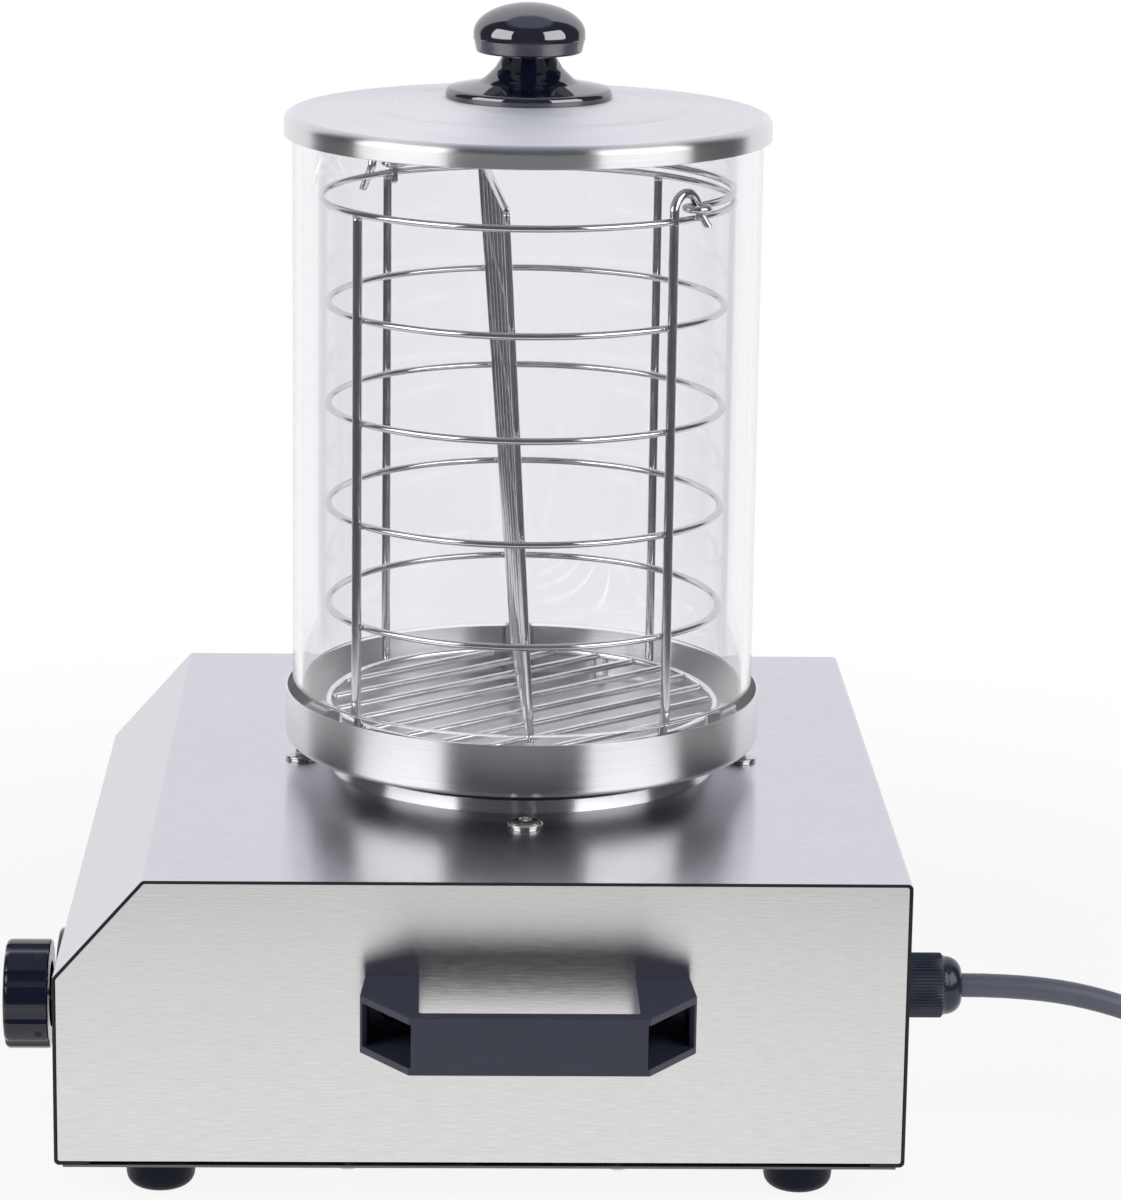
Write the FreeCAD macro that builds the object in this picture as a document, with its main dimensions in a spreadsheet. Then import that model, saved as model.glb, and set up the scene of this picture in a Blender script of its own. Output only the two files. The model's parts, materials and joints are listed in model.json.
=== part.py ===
import FreeCAD, Part
import math
import os
import re

import Sketcher

# Countertop hot dog steamer, in millimetres.
# Up is +Z with the feet on z = 0, the control knob faces -Y, and X runs across the casing.
# The origin is under the middle of the machine, between the tip of the knob and the tip of the gland.

SIZES = {
    # casing
    "base_width": 362.0,
    "base_length": 345.4,
    "case_height": 120.6,
    "front_height": 79.3,
    "slope_run": 36.6,
    "sheet": 1.2,
    "bend": 1.0,
    "seam": 0.3,
    "lip": 14.0,
    "panel_sheet": 1.0,
    "panel_flange": 12.0,
    "panel_inset": 0.5,
    "floor_sheet": 1.0,
    "floor_inset": 3.5,
    "screw_radius": 2.0,
    "screw_play": 0.1,
    "screw_head_radius": 3.8,
    "screw_head_height": 2.2,
    "case_screw_length": 9.0,
    "case_screw_edge": 7.5,
    "case_screw_pitch": 220.0,
    # feet
    "foot_height": 14.0,
    "foot_radius": 15.0,
    "foot_base_radius": 13.4,
    "foot_round": 5.5,
    "foot_side_inset": 20.0,
    "foot_end_inset": 42.0,
    "foot_recess_radius": 6.0,
    "foot_recess_depth": 6.0,
    "foot_screw_radius": 2.5,
    "foot_screw_head": 4.8,
    "foot_nut_radius": 4.6,
    "foot_nut_height": 4.0,
    # hot plate and what holds it
    "hot_radius": 72.5,
    "hot_rise": 11.7,
    "hot_thick": 14.0,
    "hot_round": 1.5,
    "hot_neck_radius": 69.0,
    "opening_radius": 71.0,
    "trim_radius": 85.0,
    "trim_inner_radius": 80.2,
    "trim_rise": 5.2,
    "trim_flange": 1.5,
    "trim_sheet": 0.7,
    "top_screw_pitch_x": 206.0,
    "top_screw_pitch_y": 192.0,
    "top_screw_radius": 4.0,
    "top_screw_head_radius": 7.3,
    "top_screw_head_height": 3.2,
    "top_screw_edge": 1.2,
    "top_screw_round": 0.5,
    "top_screw_length": 12.0,
    "top_socket_radius": 3.0,
    "top_socket_depth": 1.6,
    "washer_radius": 6.6,
    "washer_thick": 0.6,
    "top_nut_radius": 7.2,
    "top_nut_height": 5.0,
    "bridge_sheet": 2.0,
    "bridge_drop": 24.0,
    "bridge_width": 26.0,
    "bridge_foot": 20.0,
    "stud_radius": 4.0,
    "stud_length": 36.0,
    "bulb_radius": 3.0,
    "bulb_length": 70.0,
    "bulb_offset": 32.0,
    "capillary_radius": 0.8,
    # carrying handles
    "handle_drop": 39.6,
    "handle_height": 24.0,
    "handle_reach": 51.0,
    "handle_shoulder": 24.0,
    "handle_root_half": 65.3,
    "handle_half": 67.0,
    "handle_grip_half": 47.5,
    "handle_window_half": 43.5,
    "handle_bar": 6.0,
    "handle_window_round": 1.5,
    "handle_wall": 3.0,
    "handle_base": 6.0,
    "handle_screw_half": 54.5,
    "handle_screw_length": 14.0,
    "handle_screw_head": 4.6,
    "handle_screw_rise": 3.4,
    "handle_screw_round": 2.7,
    # controls
    "knob_x": 83.0,
    "knob_reach": 29.3,
    "knob_gap": 8.6,
    "knob_radius": 23.2,
    "knob_round": 2.2,
    "knob_hollow_radius": 14.0,
    "knob_hollow_depth": 6.0,
    "knob_flute_radius": 12.0,
    "knob_flute_depth": 1.5,
    "knob_flutes": 9.0,
    "knob_spin": 30.0,
    "knob_collar": 4.6,
    "knob_hole_radius": 1.9,
    "spindle_radius": 3.0,
    "spindle_play": 0.05,
    "spindle_grip": 15.0,
    "spindle_depth": 20.0,
    "bezel_radius": 28.0,
    "bezel_thick": 5.0,
    "bezel_floor": 2.5,
    "bezel_rim": 2.6,
    "bushing_radius": 5.0,
    "bushing_reach": 6.5,
    "thermostat_width": 36.0,
    "thermostat_depth": 32.0,
    "thermostat_height": 40.0,
    "bushing_nut_radius": 8.5,
    "bushing_nut_height": 2.8,
    "lamp_radius": 5.5,
    "lamp_flange_radius": 8.0,
    "lamp_flange": 2.0,
    "lamp_dome": 5.0,
    "lamp_dome_round": 4.0,
    "lamp_depth": 20.0,
    # wiring inside
    "terminal_x": 55.0,
    "terminal_inset": 70.0,
    "terminal_width": 46.0,
    "terminal_depth": 20.0,
    "terminal_height": 18.0,
    "terminal_slot": 8.0,
    "earth_x": 110.0,
    "earth_inset": 70.0,
    "earth_radius": 2.5,
    "earth_height": 14.0,
    "wire_radius": 1.3,
    # cable gland and mains lead
    "gland_x": 90.0,
    "gland_height": 47.5,
    "gland_reach": 31.5,
    "gland_flange_radius": 13.0,
    "gland_flange": 6.0,
    "gland_thread_radius": 9.8,
    "gland_thread_length": 12.0,
    "gland_barrel_radius": 9.0,
    "gland_barrel": 18.0,
    "gland_nut_radius": 13.8,
    "gland_nut_bore": 9.2,
    "gland_nut_length": 24.1,
    "gland_dome_radius": 11.2,
    "gland_dome_round": 5.6,
    "gland_ribs": 20.0,
    "gland_rib_radius": 1.1,
    "gland_seal_radius": 8.6,
    "gland_seal_length": 5.0,
    "gland_locknut_radius": 13.0,
    "gland_locknut_height": 4.5,
    "cord_radius": 5.1,
    "cord_play": 0.2,
    "cord_inside": 32.0,
    "cord_run": 190.0,
    "coil_radius": 66.0,
    "coil_gap": 1.2,
    "coil_dip": 1.6,
    "coil_floor_turns": 2.0,
    "coil_climb_turns": 0.5,
    "coil_upper_turns": 1.75,
    "coil_tail": 45.0,
    "tie_turn": 0.625,
    "tie_width": 9.0,
    "tie_thick": 1.2,
    "tie_play": 0.6,
    "plug_length": 52.0,
    "plug_radius": 17.5,
    "plug_neck_radius": 8.0,
    "plug_neck_length": 20.8,
    "plug_neck_end": 9.2,
    "plug_swell": 31.2,
    "plug_round": 7.0,
    "pin_radius": 2.4,
    "pin_length": 19.0,
    "pin_pitch": 19.0,
    # water tray and glass
    "tray_radius": 103.2,
    "tray_height": 23.0,
    "tray_sheet": 1.0,
    "tray_corner": 5.0,
    "support_sheet": 1.2,
    "support_width": 12.0,
    "support_foot": 4.0,
    "support_inset": 1.9,
    "support_play": 0.9,
    "support_angle": 60.0,
    "glass_radius": 100.0,
    "glass_wall": 4.0,
    "glass_height": 246.0,
    "glass_gap": 2.7,
    "glass_round": 0.8,
    # wire basket
    "hoop_radius": 84.7,
    "hoop_wire": 1.5,
    "upright_wire": 2.0,
    "floor_wire": 1.7,
    "grill_wire": 1.6,
    "grill_half_count": 4.0,
    "grill_pitch": 17.4,
    "grill_angle": 39.5,
    "rail_wire": 1.5,
    "divider_wire": 1.25,
    "divider_half": 79.0,
    "divider_lean": 15.0,
    "low_rail_turn": 1.7,
    "top_rail_turn": 3.5,
    "top_rail_rise": 6.3,
    "top_rail_end": 1.5,
    "weld": 0.15,
    "light_weld": 0.03,
    "basket_floor_height": 16.2,
    "hoop_first": 44.6,
    "hoop_pitch": 43.85,
    "top_ring_rise": 45.1,
    "upright_angle": 41.5,
    "second_upright_angle": 137.5,
    "third_upright_angle": 224.0,
    "fourth_upright_angle": 307.0,
    "basket_foot_wire": 1.25,
    "basket_foot_half": 3.0,
    "basket_foot_play": 0.3,
    "basket_foot_angle": 34.0,
    "hook_radius": 7.0,
    "bail_wire": 1.6,
    "bail_gap": 1.0,
    "bail_reach": 90.0,
    "eye_radius": 4.6,
    "eye_join": 3.2,
    # lid
    "lid_radius": 103.6,
    "lid_sheet": 1.2,
    "lid_skirt": 8.2,
    "lid_shoulder": 4.0,
    "lid_seat_radius": 94.0,
    "lid_step_radius": 68.0,
    "lid_step_width": 3.0,
    "lid_step": 1.2,
    "lid_slope": 2.4,
    "lid_crown": 3.0,
    "lid_crown_radius": 36.5,
    "flange_radius": 35.3,
    "flange_edge": 4.0,
    "flange_round": 2.4,
    "neck_radius": 10.8,
    "neck_foot": 8.5,
    "neck_round": 9.0,
    "neck_height": 19.2,
    "grip_low_radius": 22.3,
    "grip_radius": 23.7,
    "grip_part": 25.2,
    "grip_corner": 36.0,
    "grip_round": 10.2,
    "grip_height": 40.0,
    "lid_bolt_radius": 3.0,
    "lid_bolt_length": 16.0,
    "lid_bolt_head": 6.0,
    "lid_bolt_head_height": 4.0,
}

PLACES = {
    "front_y": "(knob_reach - gland_reach - base_length) / 2",
    "back_y": "front_y + base_length",
    "tower_y": "front_y + slope_run + (base_length - slope_run) / 2",
    "half_width": "base_width / 2",
    "panel_x": "half_width - panel_inset",
    "case_z": "foot_height + floor_sheet",
    "kink_z": "case_z + front_height",
    "top_z": "case_z + case_height",
    "under_z": "top_z - sheet",
    "slope_rise": "case_height - front_height",
    "slope_length": "sqrt(slope_run * slope_run + slope_rise * slope_rise)",
    "kink_rate": "slope_run / (slope_length + slope_rise)",
    "crest_rate": "slope_rise / (slope_length + slope_run)",
    "foot_x": "half_width - foot_side_inset",
    "hot_z": "top_z + hot_rise",
    "bridge_z": "under_z - bridge_drop",
    "handle_z": "top_z - handle_drop - handle_height",
    "knob_z": "case_z + front_height / 2",
    "knob_length": "knob_reach - knob_gap",
    "gland_z": "case_z + gland_height",
    "cord_y": "back_y + gland_reach",
    "coil_x": "gland_x - coil_radius",
    "coil_y": "cord_y + cord_run",
    "coil_z": "tie_thick + tie_play / 2 + cord_radius",
    "coil_pitch": "2 * cord_radius + coil_gap",
    "coil_layer": "plug_radius - coil_z",
    "coil_inner": "coil_radius - coil_pitch * coil_floor_turns",
    "coil_end": "coil_inner + coil_pitch * coil_upper_turns",
    "tray_rim_z": "hot_z + tray_height",
    "tray_floor_z": "hot_z + tray_sheet",
    "glass_z": "tray_rim_z + glass_gap",
    "glass_top_z": "glass_z + glass_height",
    "floor_ring_z": "hot_z + basket_floor_height",
    "floor_ring_radius": "hoop_radius + hoop_wire - floor_wire",
    "grill_reach": "floor_ring_radius - floor_wire",
    "rail_z": "floor_ring_z + grill_wire + rail_wire - weld",
    "top_ring_z": "floor_ring_z + hoop_first + 3 * hoop_pitch + top_ring_rise",
    "top_ring_radius": "hoop_radius + hoop_wire + upright_wire - weld",
    "top_rail_z": "top_ring_z + top_rail_rise",
    "hook_z": "top_ring_z + hoop_wire + bail_gap + bail_wire",
    "hook_reach": "sqrt(top_ring_radius * top_ring_radius - hook_radius * hook_radius)",
    "hook_angle": "upright_angle + 180 / pi * hook_radius / top_ring_radius",
    "bail_x": "hook_reach - eye_join",
    "bail_y": "hook_radius + eye_join",
    "bail_centre": "(bail_reach * bail_reach - bail_x * bail_x - bail_y * bail_y) / 2 / (bail_reach - bail_y)",
    "bail_radius": "bail_reach - bail_centre",
    "bail_start": "180 / pi * (bail_y - bail_centre) / bail_x",
    "divider_rise": "top_rail_z - rail_z",
    "divider_twist": "tan(top_rail_turn) - tan(low_rail_turn)",
    "foot_bend_z": "tray_floor_z + basket_foot_play + basket_foot_wire + basket_foot_half",
    "lid_seat_z": "glass_top_z + lid_sheet",
    "lid_crown_z": "lid_seat_z + lid_slope + lid_step + lid_crown",
}

X_AXIS = FreeCAD.Vector(1, 0, 0)
Y_AXIS = FreeCAD.Vector(0, 1, 0)
Z_AXIS = FreeCAD.Vector(0, 0, 1)
TOWARD_FRONT = FreeCAD.Rotation(X_AXIS, 90)
TOWARD_BACK = FreeCAD.Rotation(X_AXIS, -90)
SIDES = (1, -1)
THIRDS = (0, 120, 240)
UPRIGHTS = ("upright_angle", "second_upright_angle", "third_upright_angle", "fourth_upright_angle")
TOLERANCE = 1e-4
COIL_STEPS = 8

doc = FreeCAD.newDocument("HotDogSteamer")
nodes = []


def bound(text):
    """Turn plain size names into references to the two sheets."""
    def swap(match):
        word = match.group(0)
        if word in SIZES:
            return "Sizes." + word
        if word in PLACES:
            return "Places." + word
        return word
    return re.sub(r"[a-z][a-z0-9_]*", swap, str(text))


def fill_sheet(name, rows, prefix):
    sheet = doc.addObject("Spreadsheet::Sheet", name)
    for row, (alias, value) in enumerate(rows.items(), 1):
        sheet.set(f"A{row}", alias)
        sheet.set(f"B{row}", prefix + str(value))
        sheet.setAlias(f"B{row}", alias)
    doc.recompute()
    return sheet


sizes = fill_sheet("Sizes", SIZES, "")
places = fill_sheet("Places", {name: bound(text).replace("Places.", "") for name, text in PLACES.items()}, "=")


def size(name):
    """The current value of a driving size or of a place worked out from them."""
    return float(sizes.get(name) if name in SIZES else places.get(name))


def keep(thing, label):
    """Make an object a node of the assembly under its own name."""
    thing.Label = label
    nodes.append(thing)
    return thing


def put(thing, x="0", y="0", z="0", turn=None, angle=None, axis=Z_AXIS):
    """Place an object: a fixed turn, or a bound angle about an axis, and a bound position."""
    if turn is not None:
        thing.Placement = FreeCAD.Placement(FreeCAD.Vector(), turn)
    if angle is not None:
        thing.Placement = FreeCAD.Placement(FreeCAD.Vector(), FreeCAD.Rotation(axis, 1))
        thing.setExpression("Placement.Rotation.Angle", bound(angle))
    for letter, text in zip("xyz", (x, y, z)):
        thing.setExpression(f"Placement.Base.{letter}", bound(text))
    return thing


# Sketched bodies

def new_body(name):
    return doc.addObject("PartDesign::Body", name)


def new_sketch(body, plane, offset="0"):
    sketch = body.newObject("Sketcher::SketchObject", body.Name + "_sketch")
    support = [item for item in body.Origin.OriginFeatures if item.Role == plane + "_Plane"]
    sketch.AttachmentSupport = [(support[0], "")]
    sketch.MapMode = "FlatFace"
    sketch.setExpression("AttachmentOffset.Base.z", bound(offset))
    return sketch


def hold(sketch, kind, places_held, text):
    """Add one driving constraint whose value follows an expression."""
    index = sketch.addConstraint(Sketcher.Constraint(kind, *places_held, 1.0))
    sketch.setExpression(f"Constraints[{index}]", bound(text))


def outline(sketch, corners):
    """Draw a closed outline; each corner is an x, a y and, where it is rounded, a radius."""
    first = sketch.GeometryCount
    count = len(corners)
    seeds = []
    for step in range(count):
        turn = 2 * math.pi * step / count
        seeds.append(FreeCAD.Vector(math.cos(turn), math.sin(turn), 0))
    for step in range(count):
        sketch.addGeometry(Part.LineSegment(seeds[step], seeds[(step + 1) % count]))
    for step in range(count):
        follower = first + (step + 1) % count
        sketch.addConstraint(Sketcher.Constraint("Coincident", first + step, 2, follower, 1))
    for step, corner in enumerate(corners):
        hold(sketch, "DistanceX", (-1, 1, first + step, 1), corner[0])
        hold(sketch, "DistanceY", (-1, 1, first + step, 1), corner[1])


def circle(sketch, x, y, radius):
    index = sketch.addGeometry(Part.Circle(FreeCAD.Vector(), Z_AXIS, 1))
    hold(sketch, "Radius", (index,), radius)
    hold(sketch, "DistanceX", (-1, 1, index, 3), x)
    hold(sketch, "DistanceY", (-1, 1, index, 3), y)


def pad(body, sketch, length, middle=False):
    feature = body.newObject("PartDesign::Pad", body.Name + "_pad")
    feature.Profile = sketch
    feature.Midplane = middle
    feature.setExpression("Length", bound(length))
    doc.recompute()
    return feature


def pocket(body, sketch, length=None, back=False):
    """Cut against the sketch's normal to a depth, or right through when no depth is given."""
    before = body.Shape.Volume
    feature = body.newObject("PartDesign::Pocket", body.Name + "_pocket")
    feature.Profile = sketch
    feature.Reversed = back
    if length is None:
        feature.Type = 1
        feature.Midplane = True
    else:
        feature.setExpression("Length", bound(length))
    doc.recompute()
    if body.Shape.Volume > before - TOLERANCE:
        raise RuntimeError(f"a cut in {body.Name} removes nothing")
    return feature


def turn_round(body, corners):
    """Revolve an outline given as radius and height about the body's Z axis."""
    sketch = new_sketch(body, "XZ")
    outline(sketch, corners)
    feature = body.newObject("PartDesign::Revolution", body.Name + "_turn")
    feature.Profile = sketch
    feature.ReferenceAxis = (sketch, ["V_Axis"])
    feature.Angle = 360
    doc.recompute()
    return round_corners(body, feature, sketch, corners)


def round_corners(body, feature, sketch, corners):
    """Fillet the edges that rise from the outline's rounded corners, one radius at a time."""
    radii = {}
    for index, corner in enumerate(corners):
        if len(corner) == 3:
            radii.setdefault(corner[2], []).append(sketch.Geometry[index].StartPoint)
    to_sketch = sketch.Placement.inverse()
    for radius, points in radii.items():
        names = []
        for number, edge in enumerate(feature.Shape.Edges, 1):
            if any(edge_from(edge, sketch, to_sketch, point) for point in points):
                names.append(f"Edge{number}")
        fillet = body.newObject("PartDesign::Fillet", body.Name + "_round")
        fillet.Base = (feature, names)
        fillet.setExpression("Radius", bound(radius))
        doc.recompute()
        feature = fillet
    return feature


def edge_from(edge, sketch, to_sketch, point):
    """True for an edge that a sketched corner sweeps out when it is padded or turned."""
    if isinstance(edge.Curve, Part.Line):
        ends = [to_sketch.multVec(vertex.Point) for vertex in edge.Vertexes]
        return all(math.hypot(end.x - point.x, end.y - point.y) < TOLERANCE for end in ends)
    if isinstance(edge.Curve, Part.Circle):
        spot = Part.Vertex(sketch.Placement.multVec(FreeCAD.Vector(point)))
        return edge.distToShape(spot)[0] < TOLERANCE
    return False


def repeat_round(body, feature, sketch, count):
    pattern = body.newObject("PartDesign::PolarPattern", body.Name + "_pattern")
    pattern.Originals = [feature]
    pattern.Axis = (sketch, ["N_Axis"])
    pattern.Angle = 360
    pattern.setExpression("Occurrences", bound(count))
    body.Tip = pattern
    doc.recompute()
    return pattern


# Primitive solids

def block(name, x, y, z):
    solid = doc.addObject("Part::Box", name)
    for side, text in zip(("Length", "Width", "Height"), (x, y, z)):
        solid.setExpression(side, bound(text))
    return solid


def rod(name, radius, length):
    solid = doc.addObject("Part::Cylinder", name)
    solid.setExpression("Radius", bound(radius))
    solid.setExpression("Height", bound(length))
    return solid


def ring(name, radius, wire, sweep="360"):
    solid = doc.addObject("Part::Torus", name)
    solid.setExpression("Radius1", bound(radius))
    solid.setExpression("Radius2", bound(wire))
    solid.setExpression("Angle3", bound(sweep))
    return solid


def hexagon(name, radius, height):
    solid = doc.addObject("Part::Prism", name)
    solid.Polygon = 6
    solid.setExpression("Circumradius", bound(radius))
    solid.setExpression("Height", bound(height))
    return solid


def fuse(name, members):
    solid = doc.addObject("Part::MultiFuse", name)
    solid.Shapes = members
    doc.recompute()
    return solid


def cut(name, base, tool):
    solid = doc.addObject("Part::Cut", name)
    solid.Base = base
    solid.Tool = tool
    doc.recompute()
    return solid


def group(label, members):
    solid = doc.addObject("Part::Compound", label)
    solid.Links = members
    doc.recompute()
    return keep(solid, label)


def mirrored(source, label):
    """The left-hand copy of a right-hand piece."""
    solid = doc.addObject("Part::Mirroring", label)
    solid.Source = source
    solid.Base = FreeCAD.Vector()
    solid.Normal = X_AXIS
    doc.recompute()
    return keep(solid, label)


def nut(name, radius, height, bore):
    return cut(name, hexagon(name + "_hex", radius, height), rod(name + "_bore", bore, height))


# Casing

def casing_outline(offset, low):
    """The casing's side outline, moved in from the outer skin by an offset."""
    return [
        (f"front_y + {offset}", low),
        (f"front_y + {offset}", f"kink_z - ({offset}) * kink_rate"),
        (f"front_y + slope_run + ({offset}) * crest_rate", f"top_z - ({offset})"),
        (f"back_y - ({offset})", f"top_z - ({offset})"),
        (f"back_y - ({offset})", low),
    ]


def case_screw_spots():
    """Screws along the front and back lips, then along the side panels' flanges."""
    spots = []
    for side in SIDES:
        for edge in ("front_y + case_screw_edge", "back_y - case_screw_edge"):
            spots.append((f"{side} * case_screw_pitch / 2", edge))
        for end in SIDES:
            edge = f"{side} * (panel_x - case_screw_edge)"
            spots.append((edge, f"{end} * case_screw_pitch / 4"))
    return spots


def top_screw_spots():
    across = [(f"{side} * top_screw_pitch_x / 2", "tower_y") for side in SIDES]
    along = [("0", f"tower_y + {side} * top_screw_pitch_y / 2") for side in SIDES]
    return across + along


def foot_spots():
    return [(f"{side} * foot_x", end) for side in SIDES
            for end in ("front_y + foot_end_inset", "back_y - foot_end_inset")]


def make_wrap_cover():
    body = new_body("wrap_cover")
    outer = casing_outline("0", "case_z")
    inner = casing_outline("sheet", "case_z + sheet")
    corners = [("front_y + lip", "case_z")]
    corners += [corner + ("bend + sheet",) for corner in outer]
    corners += [("back_y - lip", "case_z"), ("back_y - lip", "case_z + sheet")]
    corners += [corner + ("bend",) for corner in reversed(inner)]
    corners += [("front_y + lip", "case_z + sheet")]
    sketch = new_sketch(body, "YZ")
    outline(sketch, corners)
    skin = pad(body, sketch, "base_width", middle=True)
    round_corners(body, skin, sketch, corners)

    top = new_sketch(body, "XY", "top_z + sheet")
    circle(top, "0", "tower_y", "opening_radius")
    for x, y in top_screw_spots():
        circle(top, x, y, "top_screw_radius + screw_play")
    pocket(body, top, "3 * sheet")

    front = new_sketch(body, "XZ", "sheet - front_y")
    circle(front, "knob_x", "knob_z", "bushing_radius + screw_play")
    circle(front, "-knob_x", "knob_z", "lamp_radius + screw_play")
    pocket(body, front, "3 * sheet")

    back = new_sketch(body, "XZ", "2 * sheet - back_y")
    circle(back, "gland_x", "gland_z", "gland_thread_radius + screw_play")
    pocket(body, back, "3 * sheet")

    low = new_sketch(body, "XY", "case_z + 2 * sheet")
    for x, y in case_screw_spots():
        circle(low, x, y, "screw_radius + screw_play")
    pocket(body, low, "3 * sheet")
    keep(body, "wrap_cover")


def make_side_panels():
    body = new_body("side_panel_right")
    offset = "sheet + seam"
    low = "case_z + sheet + seam"
    outside = new_sketch(body, "YZ", "panel_x - panel_flange")
    corners = [corner + ("bend",) for corner in casing_outline(offset, low)]
    outline(outside, corners)
    pan = pad(body, outside, "panel_flange")
    round_corners(body, pan, outside, corners)
    inside = new_sketch(body, "YZ", "panel_x - panel_flange")
    outline(inside, casing_outline(offset + " + panel_sheet", low + " + panel_sheet"))
    pocket(body, inside, "panel_flange - panel_sheet", back=True)
    screws = new_sketch(body, "YZ", "panel_x + panel_sheet")
    for side in SIDES:
        y = f"tower_y + {side} * handle_screw_half"
        circle(screws, y, "handle_z + handle_height / 2", "screw_radius + screw_play")
    pocket(body, screws, "3 * panel_sheet")
    under = new_sketch(body, "XY", "case_z + sheet + seam + 2 * panel_sheet")
    for x, y in case_screw_spots():
        circle(under, x, y, "screw_radius + screw_play")
    pocket(body, under, "3 * panel_sheet")
    keep(body, "side_panel_right")
    mirrored(body, "side_panel_left")


def make_bottom_plate():
    body = new_body("bottom_plate")
    half = "half_width - seam"
    front = "front_y + floor_inset"
    back = "back_y - floor_inset"
    sketch = new_sketch(body, "XY", "foot_height")
    outline(sketch, [(f"-({half})", front), (half, front), (half, back), (f"-({half})", back)])
    for x, y in case_screw_spots():
        circle(sketch, x, y, "screw_radius + screw_play")
    for x, y in foot_spots():
        circle(sketch, x, y, "foot_screw_radius + screw_play")
    pad(body, sketch, "floor_sheet")
    keep(body, "bottom_plate")


def make_case_screws():
    screws = []
    for index, (x, y) in enumerate(case_screw_spots()):
        name = f"case_screw_{index}"
        head = rod(name + "_head", "screw_head_radius", "screw_head_height")
        shank = rod(name + "_shank", "screw_radius", "case_screw_length")
        put(shank, z="screw_head_height")
        screws.append(put(fuse(name, [head, shank]), x, y, "foot_height - screw_head_height"))
    group("case_screws", screws)


def make_feet():
    feet = []
    screws = []
    nuts = []
    for index, (x, y) in enumerate(foot_spots()):
        foot = new_body(f"foot_{index}")
        turn_round(foot, [
            ("foot_recess_radius", "0"),
            ("foot_base_radius", "0", "foot_round"),
            ("foot_radius", "foot_height"),
            ("foot_screw_radius + screw_play", "foot_height"),
            ("foot_screw_radius + screw_play", "foot_recess_depth"),
            ("foot_recess_radius", "foot_recess_depth"),
        ])
        feet.append(put(foot, x, y))
        head = rod(f"foot_screw_{index}_head", "foot_screw_head", "foot_recess_depth / 2")
        length = "foot_height + floor_sheet + foot_nut_height + screw_radius - foot_recess_depth"
        shank = rod(f"foot_screw_{index}_shank", "foot_screw_radius", length)
        put(shank, z="foot_recess_depth / 2")
        screws.append(put(fuse(f"foot_screw_{index}", [head, shank]), x, y, "foot_recess_depth / 2"))
        bore = "foot_screw_radius + screw_play"
        nuts.append(put(nut(f"foot_nut_{index}", "foot_nut_radius", "foot_nut_height", bore), x, y, "case_z"))
    group("feet", feet)
    group("foot_screws", screws)
    group("foot_nuts", nuts)


# Hot plate

def make_hot_plate():
    plate = new_body("hot_plate")
    turn_round(plate, [
        ("stud_radius + screw_play", "-hot_thick"),
        ("hot_neck_radius", "-hot_thick"),
        ("hot_neck_radius", "-hot_thick / 2"),
        ("hot_radius", "-hot_thick / 2", "hot_round"),
        ("hot_radius", "0", "hot_round"),
        ("0", "0"),
        ("0", "-hot_thick / 2"),
        ("stud_radius + screw_play", "-hot_thick / 2"),
    ])
    keep(put(plate, "0", "tower_y", "hot_z"), "hot_plate")

    trim = new_body("overflow_ring")
    turn_round(trim, [
        ("trim_radius", "0"),
        ("trim_radius", "trim_sheet"),
        ("trim_radius - trim_flange", "trim_sheet"),
        ("trim_inner_radius", "trim_rise", "trim_sheet / 3"),
        ("trim_inner_radius - trim_sheet", "trim_rise - trim_sheet"),
        ("trim_radius - trim_flange - trim_sheet", "0"),
    ])
    keep(put(trim, "0", "tower_y", "top_z"), "overflow_ring")


def make_bridge():
    """A cross of two bent straps under the top, which the top screws hold and the stud hangs from."""
    body = new_body("plate_bridge")
    for plane, pitch in (("XZ", "top_screw_pitch_x"), ("YZ", "top_screw_pitch_y")):
        end = f"{pitch} / 2 + bridge_foot / 2"
        knee = f"{pitch} / 2 - bridge_foot / 2"
        sketch = new_sketch(body, plane)
        outline(sketch, [
            (f"-({end})", "0"), (f"-({knee})", "0"),
            (f"-({knee})", "bridge_sheet - bridge_drop"), (knee, "bridge_sheet - bridge_drop"),
            (knee, "0"), (end, "0"), (end, "-bridge_sheet"),
            (f"{knee} + bridge_sheet", "-bridge_sheet"), (f"{knee} + bridge_sheet", "-bridge_drop"),
            (f"-({knee} + bridge_sheet)", "-bridge_drop"),
            (f"-({knee} + bridge_sheet)", "-bridge_sheet"), (f"-({end})", "-bridge_sheet"),
        ])
        pad(body, sketch, "bridge_width", middle=True)
    holes = new_sketch(body, "XY")
    circle(holes, "0", "0", "stud_radius + screw_play")
    for side in SIDES:
        circle(holes, f"{side} * top_screw_pitch_x / 2", "0", "top_screw_radius + screw_play")
        circle(holes, "0", f"{side} * top_screw_pitch_y / 2", "top_screw_radius + screw_play")
    pocket(body, holes)
    keep(put(body, "0", "tower_y", "under_z"), "plate_bridge")

    stud = rod("stud_rod", "stud_radius", "stud_length")
    put(stud, "0", "tower_y", "hot_z - hot_thick / 2 - stud_length")
    clamp = nut("stud_nut", "top_nut_radius", "top_nut_height", "stud_radius + screw_play")
    put(clamp, "0", "tower_y", "bridge_z - top_nut_height")
    group("plate_stud", [stud, clamp])


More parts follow.
